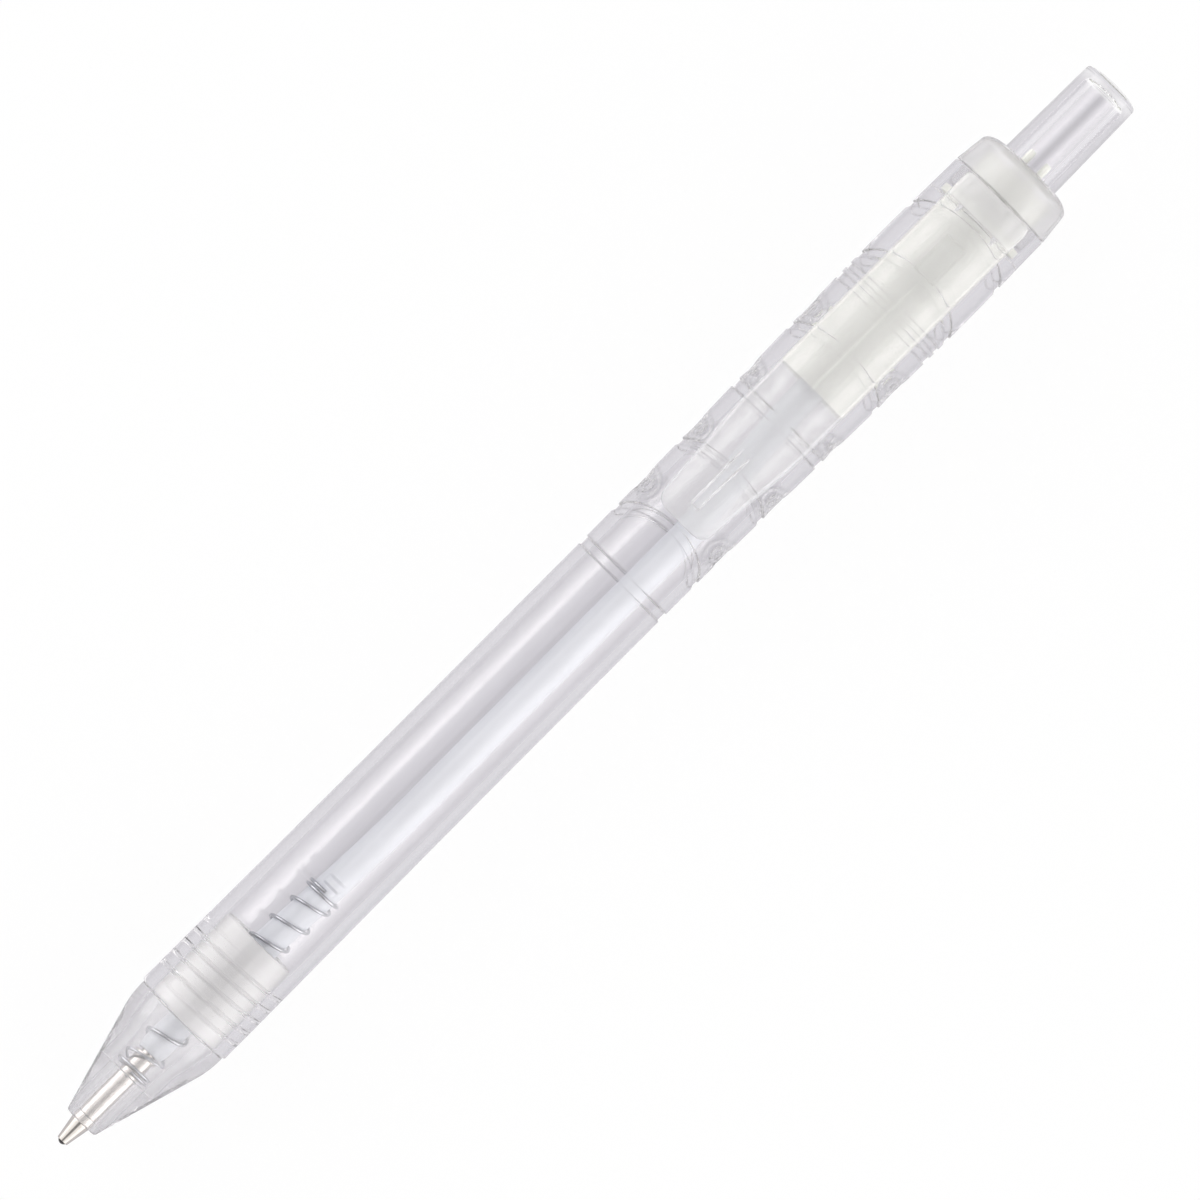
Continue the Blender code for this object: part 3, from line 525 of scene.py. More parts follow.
def metal(name, colour, roughness, rings=(1.0, 1.0, 1.0)):
    """Metal with fine marks, stretched by rings into lines round the axis where it was turned."""
    stain_tone, mark_depth = 0.82, 0.0015

    def sockets(graph):
        marks = graph.noise(0.05, rings, 3.0)
        stain = graph.noise(0.8, detail=3.0)
        return {
            "Base Color": graph.mix(shade(colour), shade(colour, stain_tone), stain.ramp(0.4, 0.9)),
            "Metallic": 1.0,
            "Roughness": roughness + 0.08 * marks,
            "Normal": graph.bump(marks, mark_depth),
        }
    return surface(name, sockets)


def clear_material(context):
    """The one clear plastic of the barrel and the button."""
    made = bpy.data.materials.get("clear_moulding")
    return made or clear_plastic("clear_moulding", context.scene.pen_finish.clear, POLISHED)


def white_material(context):
    """The one white plastic of the click mechanism."""
    colour = context.scene.pen_finish.white
    made = bpy.data.materials.get("white_moulding")
    return made or opaque_plastic("white_moulding", colour, cloud_tone=0.93, roughness=0.38)


def thread(shape):
    """The screw thread's relief: a narrow ridge along a right-hand helix that fades out at both ends."""
    pitch = shape.thread_pitch / MM
    depth = shape.thread_depth / MM
    foot_share, flank_share = 0.4, 0.34

    def relief(station, angle):
        phase = (station / pitch + angle / TURN) % 1.0
        ridge = smooth((foot_share - np.abs(2 * phase - 1)) / flank_share)
        to_end = np.minimum(station - THREAD_FRONT, THREAD_REAR - station)
        return depth * ridge * smooth(to_end / THREAD_FADE)
    return relief


def barrel_radius(station):
    """The barrel's plain radius: it slims from grip to waist, widens to the flare and closes to the mouth."""
    to_waist = smooth((station - BARREL_FRONT) / SLIM_RUN)
    to_flare = smooth((station - BARREL_REAR + FLARE_DISTANCE) / FLARE_RUN)
    to_mouth = smooth((station - BARREL_REAR + CLOSE_RUN) / CLOSE_RUN)
    return (GRIP_R + (WAIST_R - GRIP_R) * to_waist + (FLARE_R - WAIST_R) * to_flare
            + (MOUTH_R - FLARE_R) * to_mouth)


def wave(angle):
    """0 on the pen's two sides and 1 on its clip side and under side, turning softly at the sides."""
    soft = 0.2
    return (np.hypot(np.cos(angle), soft) - soft) / (math.hypot(1, soft) - soft)


def groove(station):
    """The grooves and their edges, each from 0 to 1.

    The distance from a groove's middle counts in half widths, so its walls are at 1. A groove has a level
    floor between two steep walls. Its edge is 1 along the walls and fades to 0 a little way off; it masks
    the painted shade along the walls.
    """
    beside = np.abs(station - GROOVES[:, 0]) / (GROOVES[:, 2] / 2)
    floor = smooth((1.1 - beside) / 0.2).max(axis=-1, keepdims=True)
    edge = smooth((0.4 - np.abs(beside - 1)) / 0.35).max(axis=-1, keepdims=True)
    return floor, edge


def uncovered(station, side):
    """1 where the wall lies over clear space, 0 over the refill or the sleeve, which drop its painted shade.
    """
    over_refill = smooth((TUBE_R + 0.3 - np.abs(side + lean(station))) / 0.5)
    over_sleeve = smooth((SPIGOT_R + 0.2 - np.abs(side)) / 0.4) * (station > SLEEVE_FRONT)
    return 1 - np.maximum(over_refill, over_sleeve)


def bulge(station):
    """How far a row bends towards the mouth: as its groove does, and in proportion between two grooves."""
    half = GROOVES[:, 2] / 2
    knots = np.stack([GROOVES[:, 0] - half, GROOVES[:, 0] + half], -1).ravel()
    values = np.repeat(GROOVES[:, 1], 2)
    return np.interp(station, [*knots, BARREL_REAR], [*values, 0.0])


def dimple(station, angle):
    """The oval dimples, as a dent (1 - r^2)^2 inside r = 1, and their rings of ripple that fade outwards.

    The dents lie on the pen's sides and the rings a little over and under them. The rings of a swirl
    advance with the angle round its middle, so that they curl inwards. The rings also set painted shade
    on the barrel.
    """
    off_side = np.arccos(np.abs(np.sin(angle)))
    beside = off_side / DIMPLE_HALF_ANGLE
    off_ring = (off_side - RING_LIFT) / RING_HALF_ANGLE
    dent = ring_and_shade = 0.0
    for middle, half_length, rings, swirl in DIMPLES:
        along = (station - middle) / half_length
        dent = dent + np.clip(1 - along ** 2 - beside ** 2, 0.0, 1.0) ** 2
        r2 = along ** 2 + off_ring ** 2
        phase = rings * np.sqrt(r2) + swirl * np.arctan2(off_ring, along) / TURN
        ring_and_shade = ring_and_shade + np.sqrt(np.clip(1 - r2, 0.0, 1.0)) * np.sin(math.pi * phase) ** 2
    return dent, ring_and_shade


def barrel_rows():
    """Stations of the outer rows: close in grooves and dimples, wide on the plain grip."""
    relief_front = BARREL_REAR - RELIEF_LENGTH
    plain = np.arange(BARREL_FRONT + 1.0, relief_front, 1.5)
    relief = np.arange(relief_front, BARREL_REAR - 0.3, 0.8)
    wall = np.array([0.6, 0.75, 0.9, 0.95, 1.0, 1.05, 1.1, 1.25, 1.4])
    close = [middle + width / 2 * np.concatenate([-wall, [0.0], wall]) for middle, _, width in GROOVES]
    close += [middle + half * np.linspace(-1.02, 1.02, 28) for middle, half, _, _ in DIMPLES]
    lips = [BARREL_FRONT + 0.21 * np.linspace(0, 1, 4), BARREL_REAR - 0.21 * np.linspace(1, 0, 4)]
    saddle = SADDLE_FRONT + 0.04 * np.linspace(-1, 1, 3)
    rows = np.sort(np.concatenate([plain, relief, *close, *lips, saddle]))
    return rows[np.r_[True, np.diff(rows) > 0.012]]


class PEN_OT_barrel(bpy.types.Operator):
    """Builds the clear barrel with its grooves, dimples, bore and thread"""
    bl_idname = "pen.barrel"
    bl_label = "Barrel"

    def execute(self, context):
        shape = context.scene.pen_shape
        columns = 192
        angle = around(columns)[None, :]
        rows = barrel_rows()[:, None]
        place = np.clip(rows + bulge(rows) * wave(angle), BARREL_FRONT, BARREL_REAR)
        cut, groove_shade_mask = groove(rows)
        dent, ring_and_shade = dimple(place, angle)
        depth = shape.groove_depth * cut + shape.dimple_depth * dent + shape.ripple * ring_and_shade
        radius = barrel_radius(place) - depth / MM
        to_end = np.minimum(place - BARREL_FRONT, BARREL_REAR - place)
        radius = radius - LIP * (1 - np.sqrt(1 - np.clip(1 - to_end / LIP, 0, 1) ** 2))
        on_top = (np.abs(radius * np.sin(angle)) < SADDLE_HALF) & (np.cos(angle) > 0)
        seat = np.maximum(SKIRT_R / np.maximum(np.cos(angle), 0.1), SADDLE_R)
        radius = np.where(on_top & (place > SADDLE_FRONT), np.minimum(radius, seat), radius)
        outer = round_axis(place, radius, angle)
        mouth = rounded([(BARREL_REAR, MOUTH_BORE_R, 0.12), (MOUTH_FLOOR, MOUTH_BORE_R, 0.05),
                         (MOUTH_FLOOR, BORE_R, 0.12), (THREAD_REAR + 1.0, BORE_R, 0.0)], closed=False)
        bore = level_run(np.linspace(THREAD_REAR, THREAD_FRONT - 0.2, 110), BORE_R)
        front = [(BARREL_FRONT + 0.3, BORE_R), (BARREL_FRONT + 0.05, BORE_R + 0.05),
                 (BARREL_FRONT, BORE_R + 0.15)]
        ridge, ridge_share = thread(shape), 0.6
        inner = turned(np.concatenate([mouth, bore, front]), columns, lambda s, a: ridge_share * ridge(s, a))
        # Painted shade along the groove walls and on the dimples' rings, kept faint where the refill or
        # sleeve lies under the wall.
        faint = 0.15
        clear = faint + (1 - faint) * uncovered(place, radius * np.sin(angle))
        painted_light = np.concatenate([np.maximum(groove_shade_mask * clear, ring_and_shade), np.zeros(inner.shape[:2])])
        barrel = skin("clear_barrel", np.concatenate([outer, inner]), painted_light=painted_light)
        dress(barrel, clear_material(context), "barrel", "body")
        return {"FINISHED"}


class PEN_OT_nose_cone(bpy.types.Operator):
    """Builds the clear nose with its stepped bore and its threaded spigot"""
    bl_idname = "pen.nose_cone"
    bl_label = "Nose cone"

    def execute(self, context):
        shape = context.scene.pen_shape
        edge = shape.edge / MM
        front_r, cone_r, collar_r = 1.82, 4.94, 5.24
        cone_run, collar_run = 11.0, 2.5
        bore_r, chamber_r, guide_r, hole_r = 2.85, 2.22, 1.46, 1.26
        spring_seat, guide_front = NOSE_FRONT + 6.57, NOSE_FRONT + 1.0
        slope = [(NOSE_FRONT + cone_run * t, front_r + (cone_r - front_r) * t, 0.0)
                 for t in np.linspace(0.1, 0.88, 12)]
        collar = [(NOSE_REAR - collar_run * t, collar_r - (collar_r - cone_r) * t ** 2, 0.0)
                  for t in np.linspace(1.0, 0.0, 9)[1:-1]]
        helix = [(s, SPIGOT_R, 0.0) for s in np.linspace(THREAD_FRONT, THREAD_REAR, 120)]
        profile = rounded([
            (NOSE_FRONT, front_r, 0.2), *slope, (NOSE_REAR - collar_run, cone_r, 0.9), *collar,
            (NOSE_SEAT, collar_r, edge), (NOSE_SEAT, SPIGOT_R, edge), *helix, (SPIGOT_REAR, SPIGOT_R, 0.2),
            (SPIGOT_REAR, bore_r, edge), (NOSE_REAR, bore_r, 0.8), (TUBE_FRONT, chamber_r, 0.5),
            (spring_seat, chamber_r, 0.08), (spring_seat, guide_r, edge), (guide_front, guide_r, 0.08),
            (guide_front, hole_r, 0.08), (NOSE_FRONT, hole_r, edge)])
        ridge = thread(shape)

        def on_spigot(station, angle):
            """The thread, kept to the spigot's outside."""
            outside = profile[:, 1:2] > (bore_r + SPIGOT_R) / 2
            return np.where(outside & (station > NOSE_REAR), ridge(station, angle), 0.0)

        nose = skin("clear_nose", turned(profile, columns=200, relief=on_spigot))
        finish = context.scene.pen_finish
        material = clear_plastic("frosted_moulding", finish.clear, POLISHED, finish.nose_milk,
                                 finish.spigot_frost, finish.spigot_veil)
        dress(nose, material, "nose_cone", "body")
        return {"FINISHED"}


class PEN_OT_end_cap(bpy.types.Operator):
    """Builds the clear cap that closes the barrel behind the clip"""
    bl_idname = "pen.end_cap"
    bl_label = "End cap"

    def execute(self, context):
        edge = context.scene.pen_shape.edge / MM
        hole_r, crown_r, crown_height = BUTTON_R + 0.1, MOUTH_R - 0.33, 1.15
        ceiling = CAP_REAR - 1.3
        crown = [(CAP_REAR - crown_height * (1 - math.cos(a)), hole_r + (crown_r - hole_r) * math.sin(a), 0.0)
                 for a in np.linspace(math.pi / 2, 0.0, 16)]
        profile = rounded([
            (SKIRT_FRONT, SKIRT_R, edge), (CAP_SEAT, SKIRT_R, 0.05), (CAP_SEAT, MOUTH_R, 0.12), *crown,
            (ceiling, hole_r, edge), (ceiling, BORE_R, 0.05), (SKIRT_FRONT, BORE_R, edge),
        ], steps=8)
        cap = skin("clear_cap", turned(profile, columns=128))
        finish = context.scene.pen_finish
        material = clear_plastic("hazy_moulding", finish.clear, HAZY, finish.cap_milk,
                                 veil=finish.cap_veil, veil_front=CAP_SEAT - 0.5)
        dress(cap, material, "end_cap", "body")
        return {"FINISHED"}


class PEN_OT_push_button(bpy.types.Operator):
    """Builds the clear hollow button with its domed end"""
    bl_idname = "pen.push_button"
    bl_label = "Push button"

    def execute(self, context):
        edge = context.scene.pen_shape.edge / MM
        top_r, top_drop = BUTTON_R - 0.17, 0.45
        dome = [(PEN_LENGTH - top_drop * q ** 2, top_r * q, 0.0) for q in np.linspace(0.75, 0.02, 12)]
        hollow_r, hollow_rear, hollow_drop = STEM_R + 0.2, PEN_LENGTH - 1.1, 0.3
        hollow = [(hollow_rear - hollow_drop * q ** 2, hollow_r * q, 0.0) for q in np.linspace(0.02, 0.5, 6)]
        profile = rounded([
            *hollow, (hollow_rear - hollow_drop, hollow_r, 0.4), (BUTTON_FRONT, hollow_r, edge),
            (BUTTON_FRONT, BUTTON_R, edge), (CAP_REAR, BUTTON_R, 0.0),
            (PEN_LENGTH - top_drop, top_r, 0.7), *dome,
        ], closed=False, steps=8)
        button = skin("clear_button", turned(profile, columns=112), loop=False)
        dress(button, clear_material(context), "push_button", "button")
        return {"FINISHED"}


def corner_inset(distance, radius):
    """How far a rounded corner draws the blade's side in, at a distance from the blade's end."""
    inside = np.clip(radius - distance, 0.0, radius)
    return radius - np.sqrt(radius ** 2 - inside ** 2)


def clip_half_width(station):
    """Half the blade's width: a taper behind the free end, then parallel sides, and rounded corners."""
    half = FREE_HALF + (CLIP_HALF - FREE_HALF) * smooth((station - CLIP_END) / CLIP_TAPER)
    half = half - corner_inset(station - CLIP_END, FREE_CORNER)
    return half - corner_inset(CLIP_ROOT - station, ROOT_CORNER)


class PEN_OT_clip(bpy.types.Operator):
    """Builds the clear clip: a section carried from its free end to its root, with rib and foot below"""
    bl_idname = "pen.clip"
    bl_label = "Clip"

    def execute(self, context):
        round_top, round_under, wall = 0.42, 0.2, 0.2
        foot_front, foot_rear = CLIP_ROOT - 2.8, CLIP_ROOT - 0.35
        foot_half, foot_under = 2.9, 5.22
        rib_front, toe_rear, rib_rear, rib_half = CLIP_END + 2.1, CLIP_END + 3.2, CLIP_END + 9.4, 0.62
        ends = FREE_CORNER * (1 - np.cos(np.linspace(0, math.pi / 2, 14)))
        plain = np.arange(rib_rear + 0.5, CLIP_ROOT - 1.5, 0.9)
        walls = [place + 0.12 * np.linspace(-1, 1, 5) for place in (rib_front, foot_front, foot_rear)]
        wedge_rows = np.linspace(toe_rear, rib_rear, 48)
        rows = np.concatenate([CLIP_END + ends, CLIP_ROOT - ends, plain, wedge_rows, *walls])
        rows = np.unique(rows.round(4))[:, None]
        half = clip_half_width(rows)
        quarter = np.linspace(0, math.pi / 2, 7)[None, :]
        end_drop = 1 - np.clip(np.minimum(rows - CLIP_END, CLIP_ROOT - rows) / round_top, 0, 1)
        end_round = round_top * (1 - np.sqrt(1 - end_drop ** 2))

        # The under side between its rounded edges: places across, closer at the rib's and the foot's walls.
        places = np.array([0, 0.25, 0.45, 0.52, 0.58, 0.64, 0.72, 1.2, 1.9, 2.4, 2.72, 2.8, 2.88, 2.96,
                           3.05, 3.4])
        across = np.concatenate([-places[:0:-1], places])[None, :]
        wide = across * (half - round_under) / (CLIP_HALF - round_under)
        at_foot = smooth((rows - foot_front) / wall + 0.5) * smooth((foot_rear - rows) / wall + 0.5)
        foot = (CLIP_UNDER - foot_under) * at_foot * smooth((foot_half - np.abs(across)) / wall + 0.5)
        contact = barrel_radius(np.array(toe_rear)) + SEAT_GAP
        wedge = np.clip((rib_rear - rows) / (rib_rear - toe_rear), 0, 1)
        wedge = wedge * smooth((rows - rib_front) / wall + 0.5)
        rib = (CLIP_UNDER - contact) * wedge * smooth((rib_half - np.abs(across)) / 0.22 + 0.3)
        lowest = CLIP_UNDER + 0.5 * end_round
        below = lowest - np.maximum(foot, rib)

        def corner(start, rounding, height):
            """A rounded edge at the right side: a quarter of a circle, turned by start."""
            side = half - rounding + rounding * np.cos(quarter + start)
            return side, height + rounding * np.sin(quarter + start)

        upper = CLIP_TOP - end_round
        right_y, right_z = corner(0.0, round_top, upper - round_top)
        left_y, left_z = -right_y[:, ::-1], right_z[:, ::-1]
        lower_y, lower_z = corner(-math.pi / 2, round_under, lowest + round_under)
        crown = np.linspace(-0.9, 0.9, 13)[None, :] * (half - round_top)
        width = np.concatenate([wide, lower_y, right_y, crown[:, ::-1], left_y, -lower_y[:, ::-1]], 1)
        height = np.concatenate([below, lower_z, right_z, np.broadcast_to(upper, crown.shape), left_z,
                                 lower_z[:, ::-1]], 1)
        points = np.stack(np.broadcast_arrays(rows, width, height), -1)
        finish = context.scene.pen_finish
        clip = skin("clear_clip", points, loop=False)
        material = clear_plastic("frosted_clip", finish.clip, finish.clip_frost, finish.clip_milk,
                                 veil=finish.foot_veil, veil_front=foot_front - 0.3)
        dress(clip, material, "clip", "clip")
        return {"FINISHED"}


def slot_share(angle):
    """How far an angle lies from the middle of its slot: 0 in the middle, 1 in the middle of a land."""
    half = TURN / SLOTS / 2
    return np.abs((angle + half) % (2 * half) - half) / half


def crown_teeth(angle):
    """A row of pointed teeth, from 0 at a tip to 1 in a valley."""
    return 1 - np.abs(2 * (angle * TEETH / TURN % 1) - 1)


def stack_rows(rows, angle):
    """Points of a turned piece whose rows (station, radius) may each vary with the angle."""
    return np.stack([round_axis(station, radius, angle) for station, radius in rows])


class PEN_OT_click_mechanism(bpy.types.Operator):
    """Builds the white click mechanism: guide sleeve, ratchet plunger and rotating cam"""
    bl_idname = "pen.click_mechanism"
    bl_label = "Click mechanism"

    def sleeve(self, context):
        """The sleeve: outside a parting line, a window and a flange; inside slots between slanted lands."""
        angle = around(MECHANISM_COLUMNS)
        rear_r, shell_r, pocket_r = 3.45, 3.9, 3.85
        window_half, parting_half = 1.1, 0.15
        outside = rounded([
            (SLEEVE_FRONT, SPIGOT_R, 0.15), (FLANGE_FRONT, SPIGOT_R, 0.05), (FLANGE_FRONT, SKIRT_R, 0.1),
            (FLANGE_REAR, SKIRT_R, 0.1), (FLANGE_REAR, SPIGOT_R, 0.05), (SLEEVE_REAR, SPIGOT_R, 0.1),
            (SLEEVE_REAR, rear_r, 0.1), (STOP_REAR, rear_r, 0.0), (STOP_REAR, LAND_R, 0.0),
            (STOP_FRONT + 0.05, LAND_R, 0.0)], closed=False)
        wall, first_row = 0.1 * np.linspace(-1, 1, 3), 103.0
        plain = np.linspace(first_row, PARTING_REAR, 7)
        along = np.concatenate([WINDOW_FRONT + wall, WINDOW_REAR + wall, plain])

        def on_shell(profile):
            """True on the outside in front of the flange."""
            return (profile[:, 0] < FLANGE_FRONT - 0.2) & (profile[:, 1] > shell_r)

        shell = np.concatenate([outside[on_shell(outside)], level_run(np.sort(along), SPIGOT_R)])
        shell = shell[np.argsort(shell[:, 0], kind="stable")]
        profile = np.concatenate([shell, outside[~on_shell(outside)]])
        station, radius = profile[:, 0:1], profile[:, 1:2]
        shown = on_shell(profile)[:, None]
        beside = np.abs((angle + math.pi) % TURN - math.pi)[None, :] * SPIGOT_R
        # The parting line's ridge; the same share sets its painted highlight in the colour.
        line = np.where(shown & (station < PARTING_REAR), np.clip(1 - beside / parting_half, 0, 1), 0.0)
        pocket = shown & (station > WINDOW_FRONT) & (station < WINDOW_REAR) & (beside < window_half)
        radius = np.where(pocket, pocket_r, radius + context.scene.pen_shape.parting / MM * line)
        outer = round_axis(station, radius, angle)
        land = slot_share(angle) > 1 - LAND_SHARE
        slot_turn = angle % (TURN / SLOTS) / (TURN / SLOTS)
        land_front = LAND_FRONT + LAND_SLANT * np.clip((slot_turn - 0.5) / LAND_SHARE + 0.5, 0, 1)
        wall_r = np.where(land, LAND_R, SLOT_R)
        slot_middle = 114.0
        inner = stack_rows([(STOP_FRONT, wall_r), (np.where(land, land_front, slot_middle), wall_r),
                            (land_front - 0.02, SLOT_R), (SLEEVE_FRONT + 0.1, SLOT_R)], angle)
        painted_light = np.concatenate([line, np.zeros(inner.shape[:2])])
        sleeve = skin("white_sleeve", np.concatenate([outer, inner]), painted_light=painted_light)
        dress(sleeve, white_material(context), "guide_sleeve", "body")

    def plunger(self, context):
        """The plunger: a pointed crown, four keys and a stem that splits into a fork in the button."""
        angle = around(MECHANISM_COLUMNS)
        key_r = np.where(slot_share(angle) < KEY_SHARE, KEY_R, CROWN_R)
        valley, fork_front = PLUNGER_FRONT + TOOTH, PLUNGER_REAR - 3.0
        rows = [(valley, CORE_R), (valley, HUB_R), (PLUNGER_FRONT + TOOTH * crown_teeth(angle), CROWN_R),
                (KEY_FRONT, CROWN_R), (KEY_FRONT, key_r), (KEY_FRONT + 0.15, key_r), (KEY_REAR - 0.15, key_r),
                (KEY_REAR, key_r - 0.1), (KEY_REAR, CROWN_R), (SHOULDER - 0.1, CROWN_R),
                (SHOULDER, CROWN_R - 0.1), (SHOULDER, STEM_R), (SHOULDER + 0.1, STEM_R),
                (fork_front - 0.1, STEM_R), (fork_front, STEM_R - 0.1), (fork_front, CORE_R)]
        plunger = skin("white_plunger", stack_rows(rows, angle), loop=False)
        dress(plunger, white_material(context), "ratchet_plunger", "button")
        fork = skin("white_fork", self.fork(fork_front), loop=False)
        dress(fork, white_material(context), "ratchet_plunger", "button")

    def fork(self, front):
        """An oval section carried along a U: out of one prong, through the stem and into the other."""
        prong_y, half_thick, half_high, bend_depth = 0.99, 0.37, 0.9, 0.3
        bend = np.linspace(0, math.pi, 13)
        prong = np.linspace(PLUNGER_REAR, front + 0.1, 6)
        station = np.concatenate([prong, front - bend_depth * np.sin(bend), prong[::-1]])[:, None]
        side = prong_y * np.concatenate([np.ones(6), np.cos(bend), -np.ones(6)])[:, None]
        ahead = np.gradient(station, axis=0), np.gradient(side, axis=0)
        ahead = np.stack(ahead) / np.hypot(*ahead)
        from_end = np.minimum(np.arange(len(station)), np.arange(len(station))[::-1])[:, None]
        size = np.minimum(1, 0.85 + 0.5 * from_end)
        section = around(20)[None, :]
        out, up = half_thick * size * np.cos(section), half_high * size * np.sin(section)
        return np.stack(np.broadcast_arrays(station - ahead[1] * out, side + ahead[0] * out, up), -1)

    def cam(self, context):
        """The cam: a socket for the refill, four splines and a crown that meshes with the plunger's."""
        angle = around(MECHANISM_COLUMNS)
        spline_r = np.where(slot_share(angle) < KEY_SHARE, KEY_R, CROWN_R)
        socket_r, socket_rear, valley = 1.7, CAM_FRONT + 2.8, CAM_REAR - TOOTH
        rows = [(socket_rear, CORE_R), (socket_rear, socket_r), (CAM_FRONT + 0.1, socket_r),
                (CAM_FRONT, socket_r + 0.1), (CAM_FRONT, CROWN_R - 0.1), (CAM_FRONT + 0.1, CROWN_R),
                (SPLINE_FRONT, CROWN_R), (SPLINE_FRONT, spline_r), (SPLINE_FRONT + 0.15, spline_r),
                (SPLINE_REAR - 0.1, spline_r), (SPLINE_REAR, spline_r - 0.05), (SPLINE_REAR, CROWN_R),
                (valley + TOOTH * crown_teeth(angle), CROWN_R), (valley, HUB_R), (valley, CORE_R)]
        cam = skin("white_cam", stack_rows(rows, angle), loop=False)
        dress(cam, white_material(context), "rotating_cam", "cam")

    def execute(self, context):
        self.sleeve(context)
        self.plunger(context)
        self.cam(context)
        return {"FINISHED"}


class PEN_OT_refill(bpy.types.Operator):
    """Builds the bowed refill: a milky tube with two pinched ears, its ink and the grease behind it"""
    bl_idname = "pen.refill"
    bl_label = "Refill"

    def execute(self, context):
        finish = context.scene.pen_finish
        bends = np.linspace(TUBE_FRONT + 1.0, TUBE_REAR - 0.2, 90)
        ears = SPRING_REAR + SEAT_GAP + 1.2 * np.linspace(0, 1, 13)
        ear_height, ear_fade = SPRING_OUTER_R - TUBE_R, 0.3
        along = np.unique(np.concatenate([bends, ears]).round(4))
        profile = np.concatenate([
            [(TUBE_FRONT, 1.25), (TUBE_FRONT + 0.15, 1.33), (TUBE_FRONT + 0.8, TUBE_R)],
            level_run(along, TUBE_R), [(TUBE_REAR, TUBE_R - 0.1), (TUBE_REAR, TUBE_BORE_R + 0.05)],
            level_run(along[::-1], TUBE_BORE_R), [(TUBE_FRONT, TUBE_BORE_R)]])

        def pinch(station, angle):
            """The two ears, above and below, on the tube's outside."""
            outside = profile[:, 1:2] > (TUBE_R + TUBE_BORE_R) / 2
            at_ears = smooth(np.minimum(station - ears[0], ears[-1] - station) / ear_fade)
            return np.where(outside, ear_height * at_ears * np.clip(np.cos(2 * angle), 0, 1), 0.0)

        tube = skin("refill_shell", turned(profile, columns=56, relief=pinch, bowed=True))
        milky = opaque_plastic("milky_tube", finish.tube, cloud_tone=0.95, roughness=0.3)
        dress(tube, milky, "refill_tube", "refill")
        fillings = (("ink", "ink_column", finish.ink), ("grease", "ink_follower", finish.grease))
        for name, node, colour in fillings:
            front, rear = stations(node)
            end_r, bevel = INK_R - 0.12, 0.15
            column = np.concatenate([[(front, CORE_R), (front, end_r)],
                                     level_run(np.linspace(front + bevel, rear - bevel, 60), INK_R),
                                     [(rear, end_r), (rear, CORE_R)]])
            filling = skin(f"{name}_filling", turned(column, columns=40, bowed=True), loop=False)
            material = opaque_plastic(name, colour, cloud_tone=0.8, roughness=0.15)
            dress(filling, material, node, "refill")
        return {"FINISHED"}


class PEN_OT_writing_tip(bpy.types.Operator):
    """Builds the turned metal tip and the ball in its lip"""
    bl_idname = "pen.writing_tip"
    bl_label = "Writing tip"

    def execute(self, context):
        finish = context.scene.pen_finish
        socket_r, channel_r, lip_reach, lip = BALL_R + 0.06, 0.3, 0.2, 0.08
        flange_front, flange_rear, flange_r = 11.9, 12.2, 1.3
        turn = np.linspace(math.asin(channel_r / socket_r), math.acos(-lip_reach / socket_r), 9)
        socket = [(BALL_R + socket_r * math.cos(a), socket_r * math.sin(a), 0.0) for a in turn]
        lip_r = socket[-1][1] + lip
        profile = rounded([
            *socket, (TIP_FRONT, lip_r, 0.03), (NOSE_FRONT, TIP_R, 0.15), (flange_front, TIP_R, 0.03),
            (flange_front, flange_r, 0.06), (flange_rear, flange_r, 0.06), (flange_rear, INK_R, 0.03),
            (TIP_REAR, INK_R, 0.1), (TIP_REAR, channel_r, 0.05)])
        tip = skin("metal_tip", turned(profile, columns=72))
        nickel = metal("turned_nickel", finish.nickel, roughness=0.1, rings=(1.0, 40.0, 40.0))
        dress(tip, nickel, "writing_tip", "refill")
        polar = np.linspace(math.pi - 0.05, 0.05, 25)
        sphere = np.stack([BALL_R + BALL_R * np.cos(polar), BALL_R * np.sin(polar)], -1)
        ball = skin("writing_ball", turned(sphere, columns=40), loop=False)
        dress(ball, metal("ball_metal", finish.ball, roughness=0.12), "ball", "ball")
        return {"FINISHED"}


class PEN_OT_spring(bpy.types.Operator):
    """Winds the spring: a small circle carried along a right-hand helix with closed coils at both ends"""
    bl_idname = "pen.spring"
    bl_label = "Spring"

    def execute(self, context):
        shape = context.scene.pen_shape
        wire_r = shape.wire / MM / 2
        closed_turns, open_turns, closed_pitch, margin, hold = 1.5, 9.0, 0.48, 0.2, 1.0
        turn = np.linspace(0, open_turns + 2 * closed_turns, 620)[:, None]
        opened = np.clip(turn - closed_turns, 0, open_turns)
        run = SPRING_REAR - SPRING_FRONT - 2 * margin - 2 * closed_turns * closed_pitch
        station = SPRING_FRONT + margin + closed_pitch * (turn - opened) + run * opened / open_turns
        side = around(12)[None, :]
        radius = SPRING_R + wire_r * np.cos(side)
        points = round_axis(station + wire_r * np.sin(side), radius, -TURN * turn, lean(station))
        spring = skin("wire_spring", points, loop=False)
        steel = metal("drawn_steel", context.scene.pen_finish.steel, roughness=0.12)
        dress(spring, steel, "spring")
        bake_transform(spring)
        return {"FINISHED"}


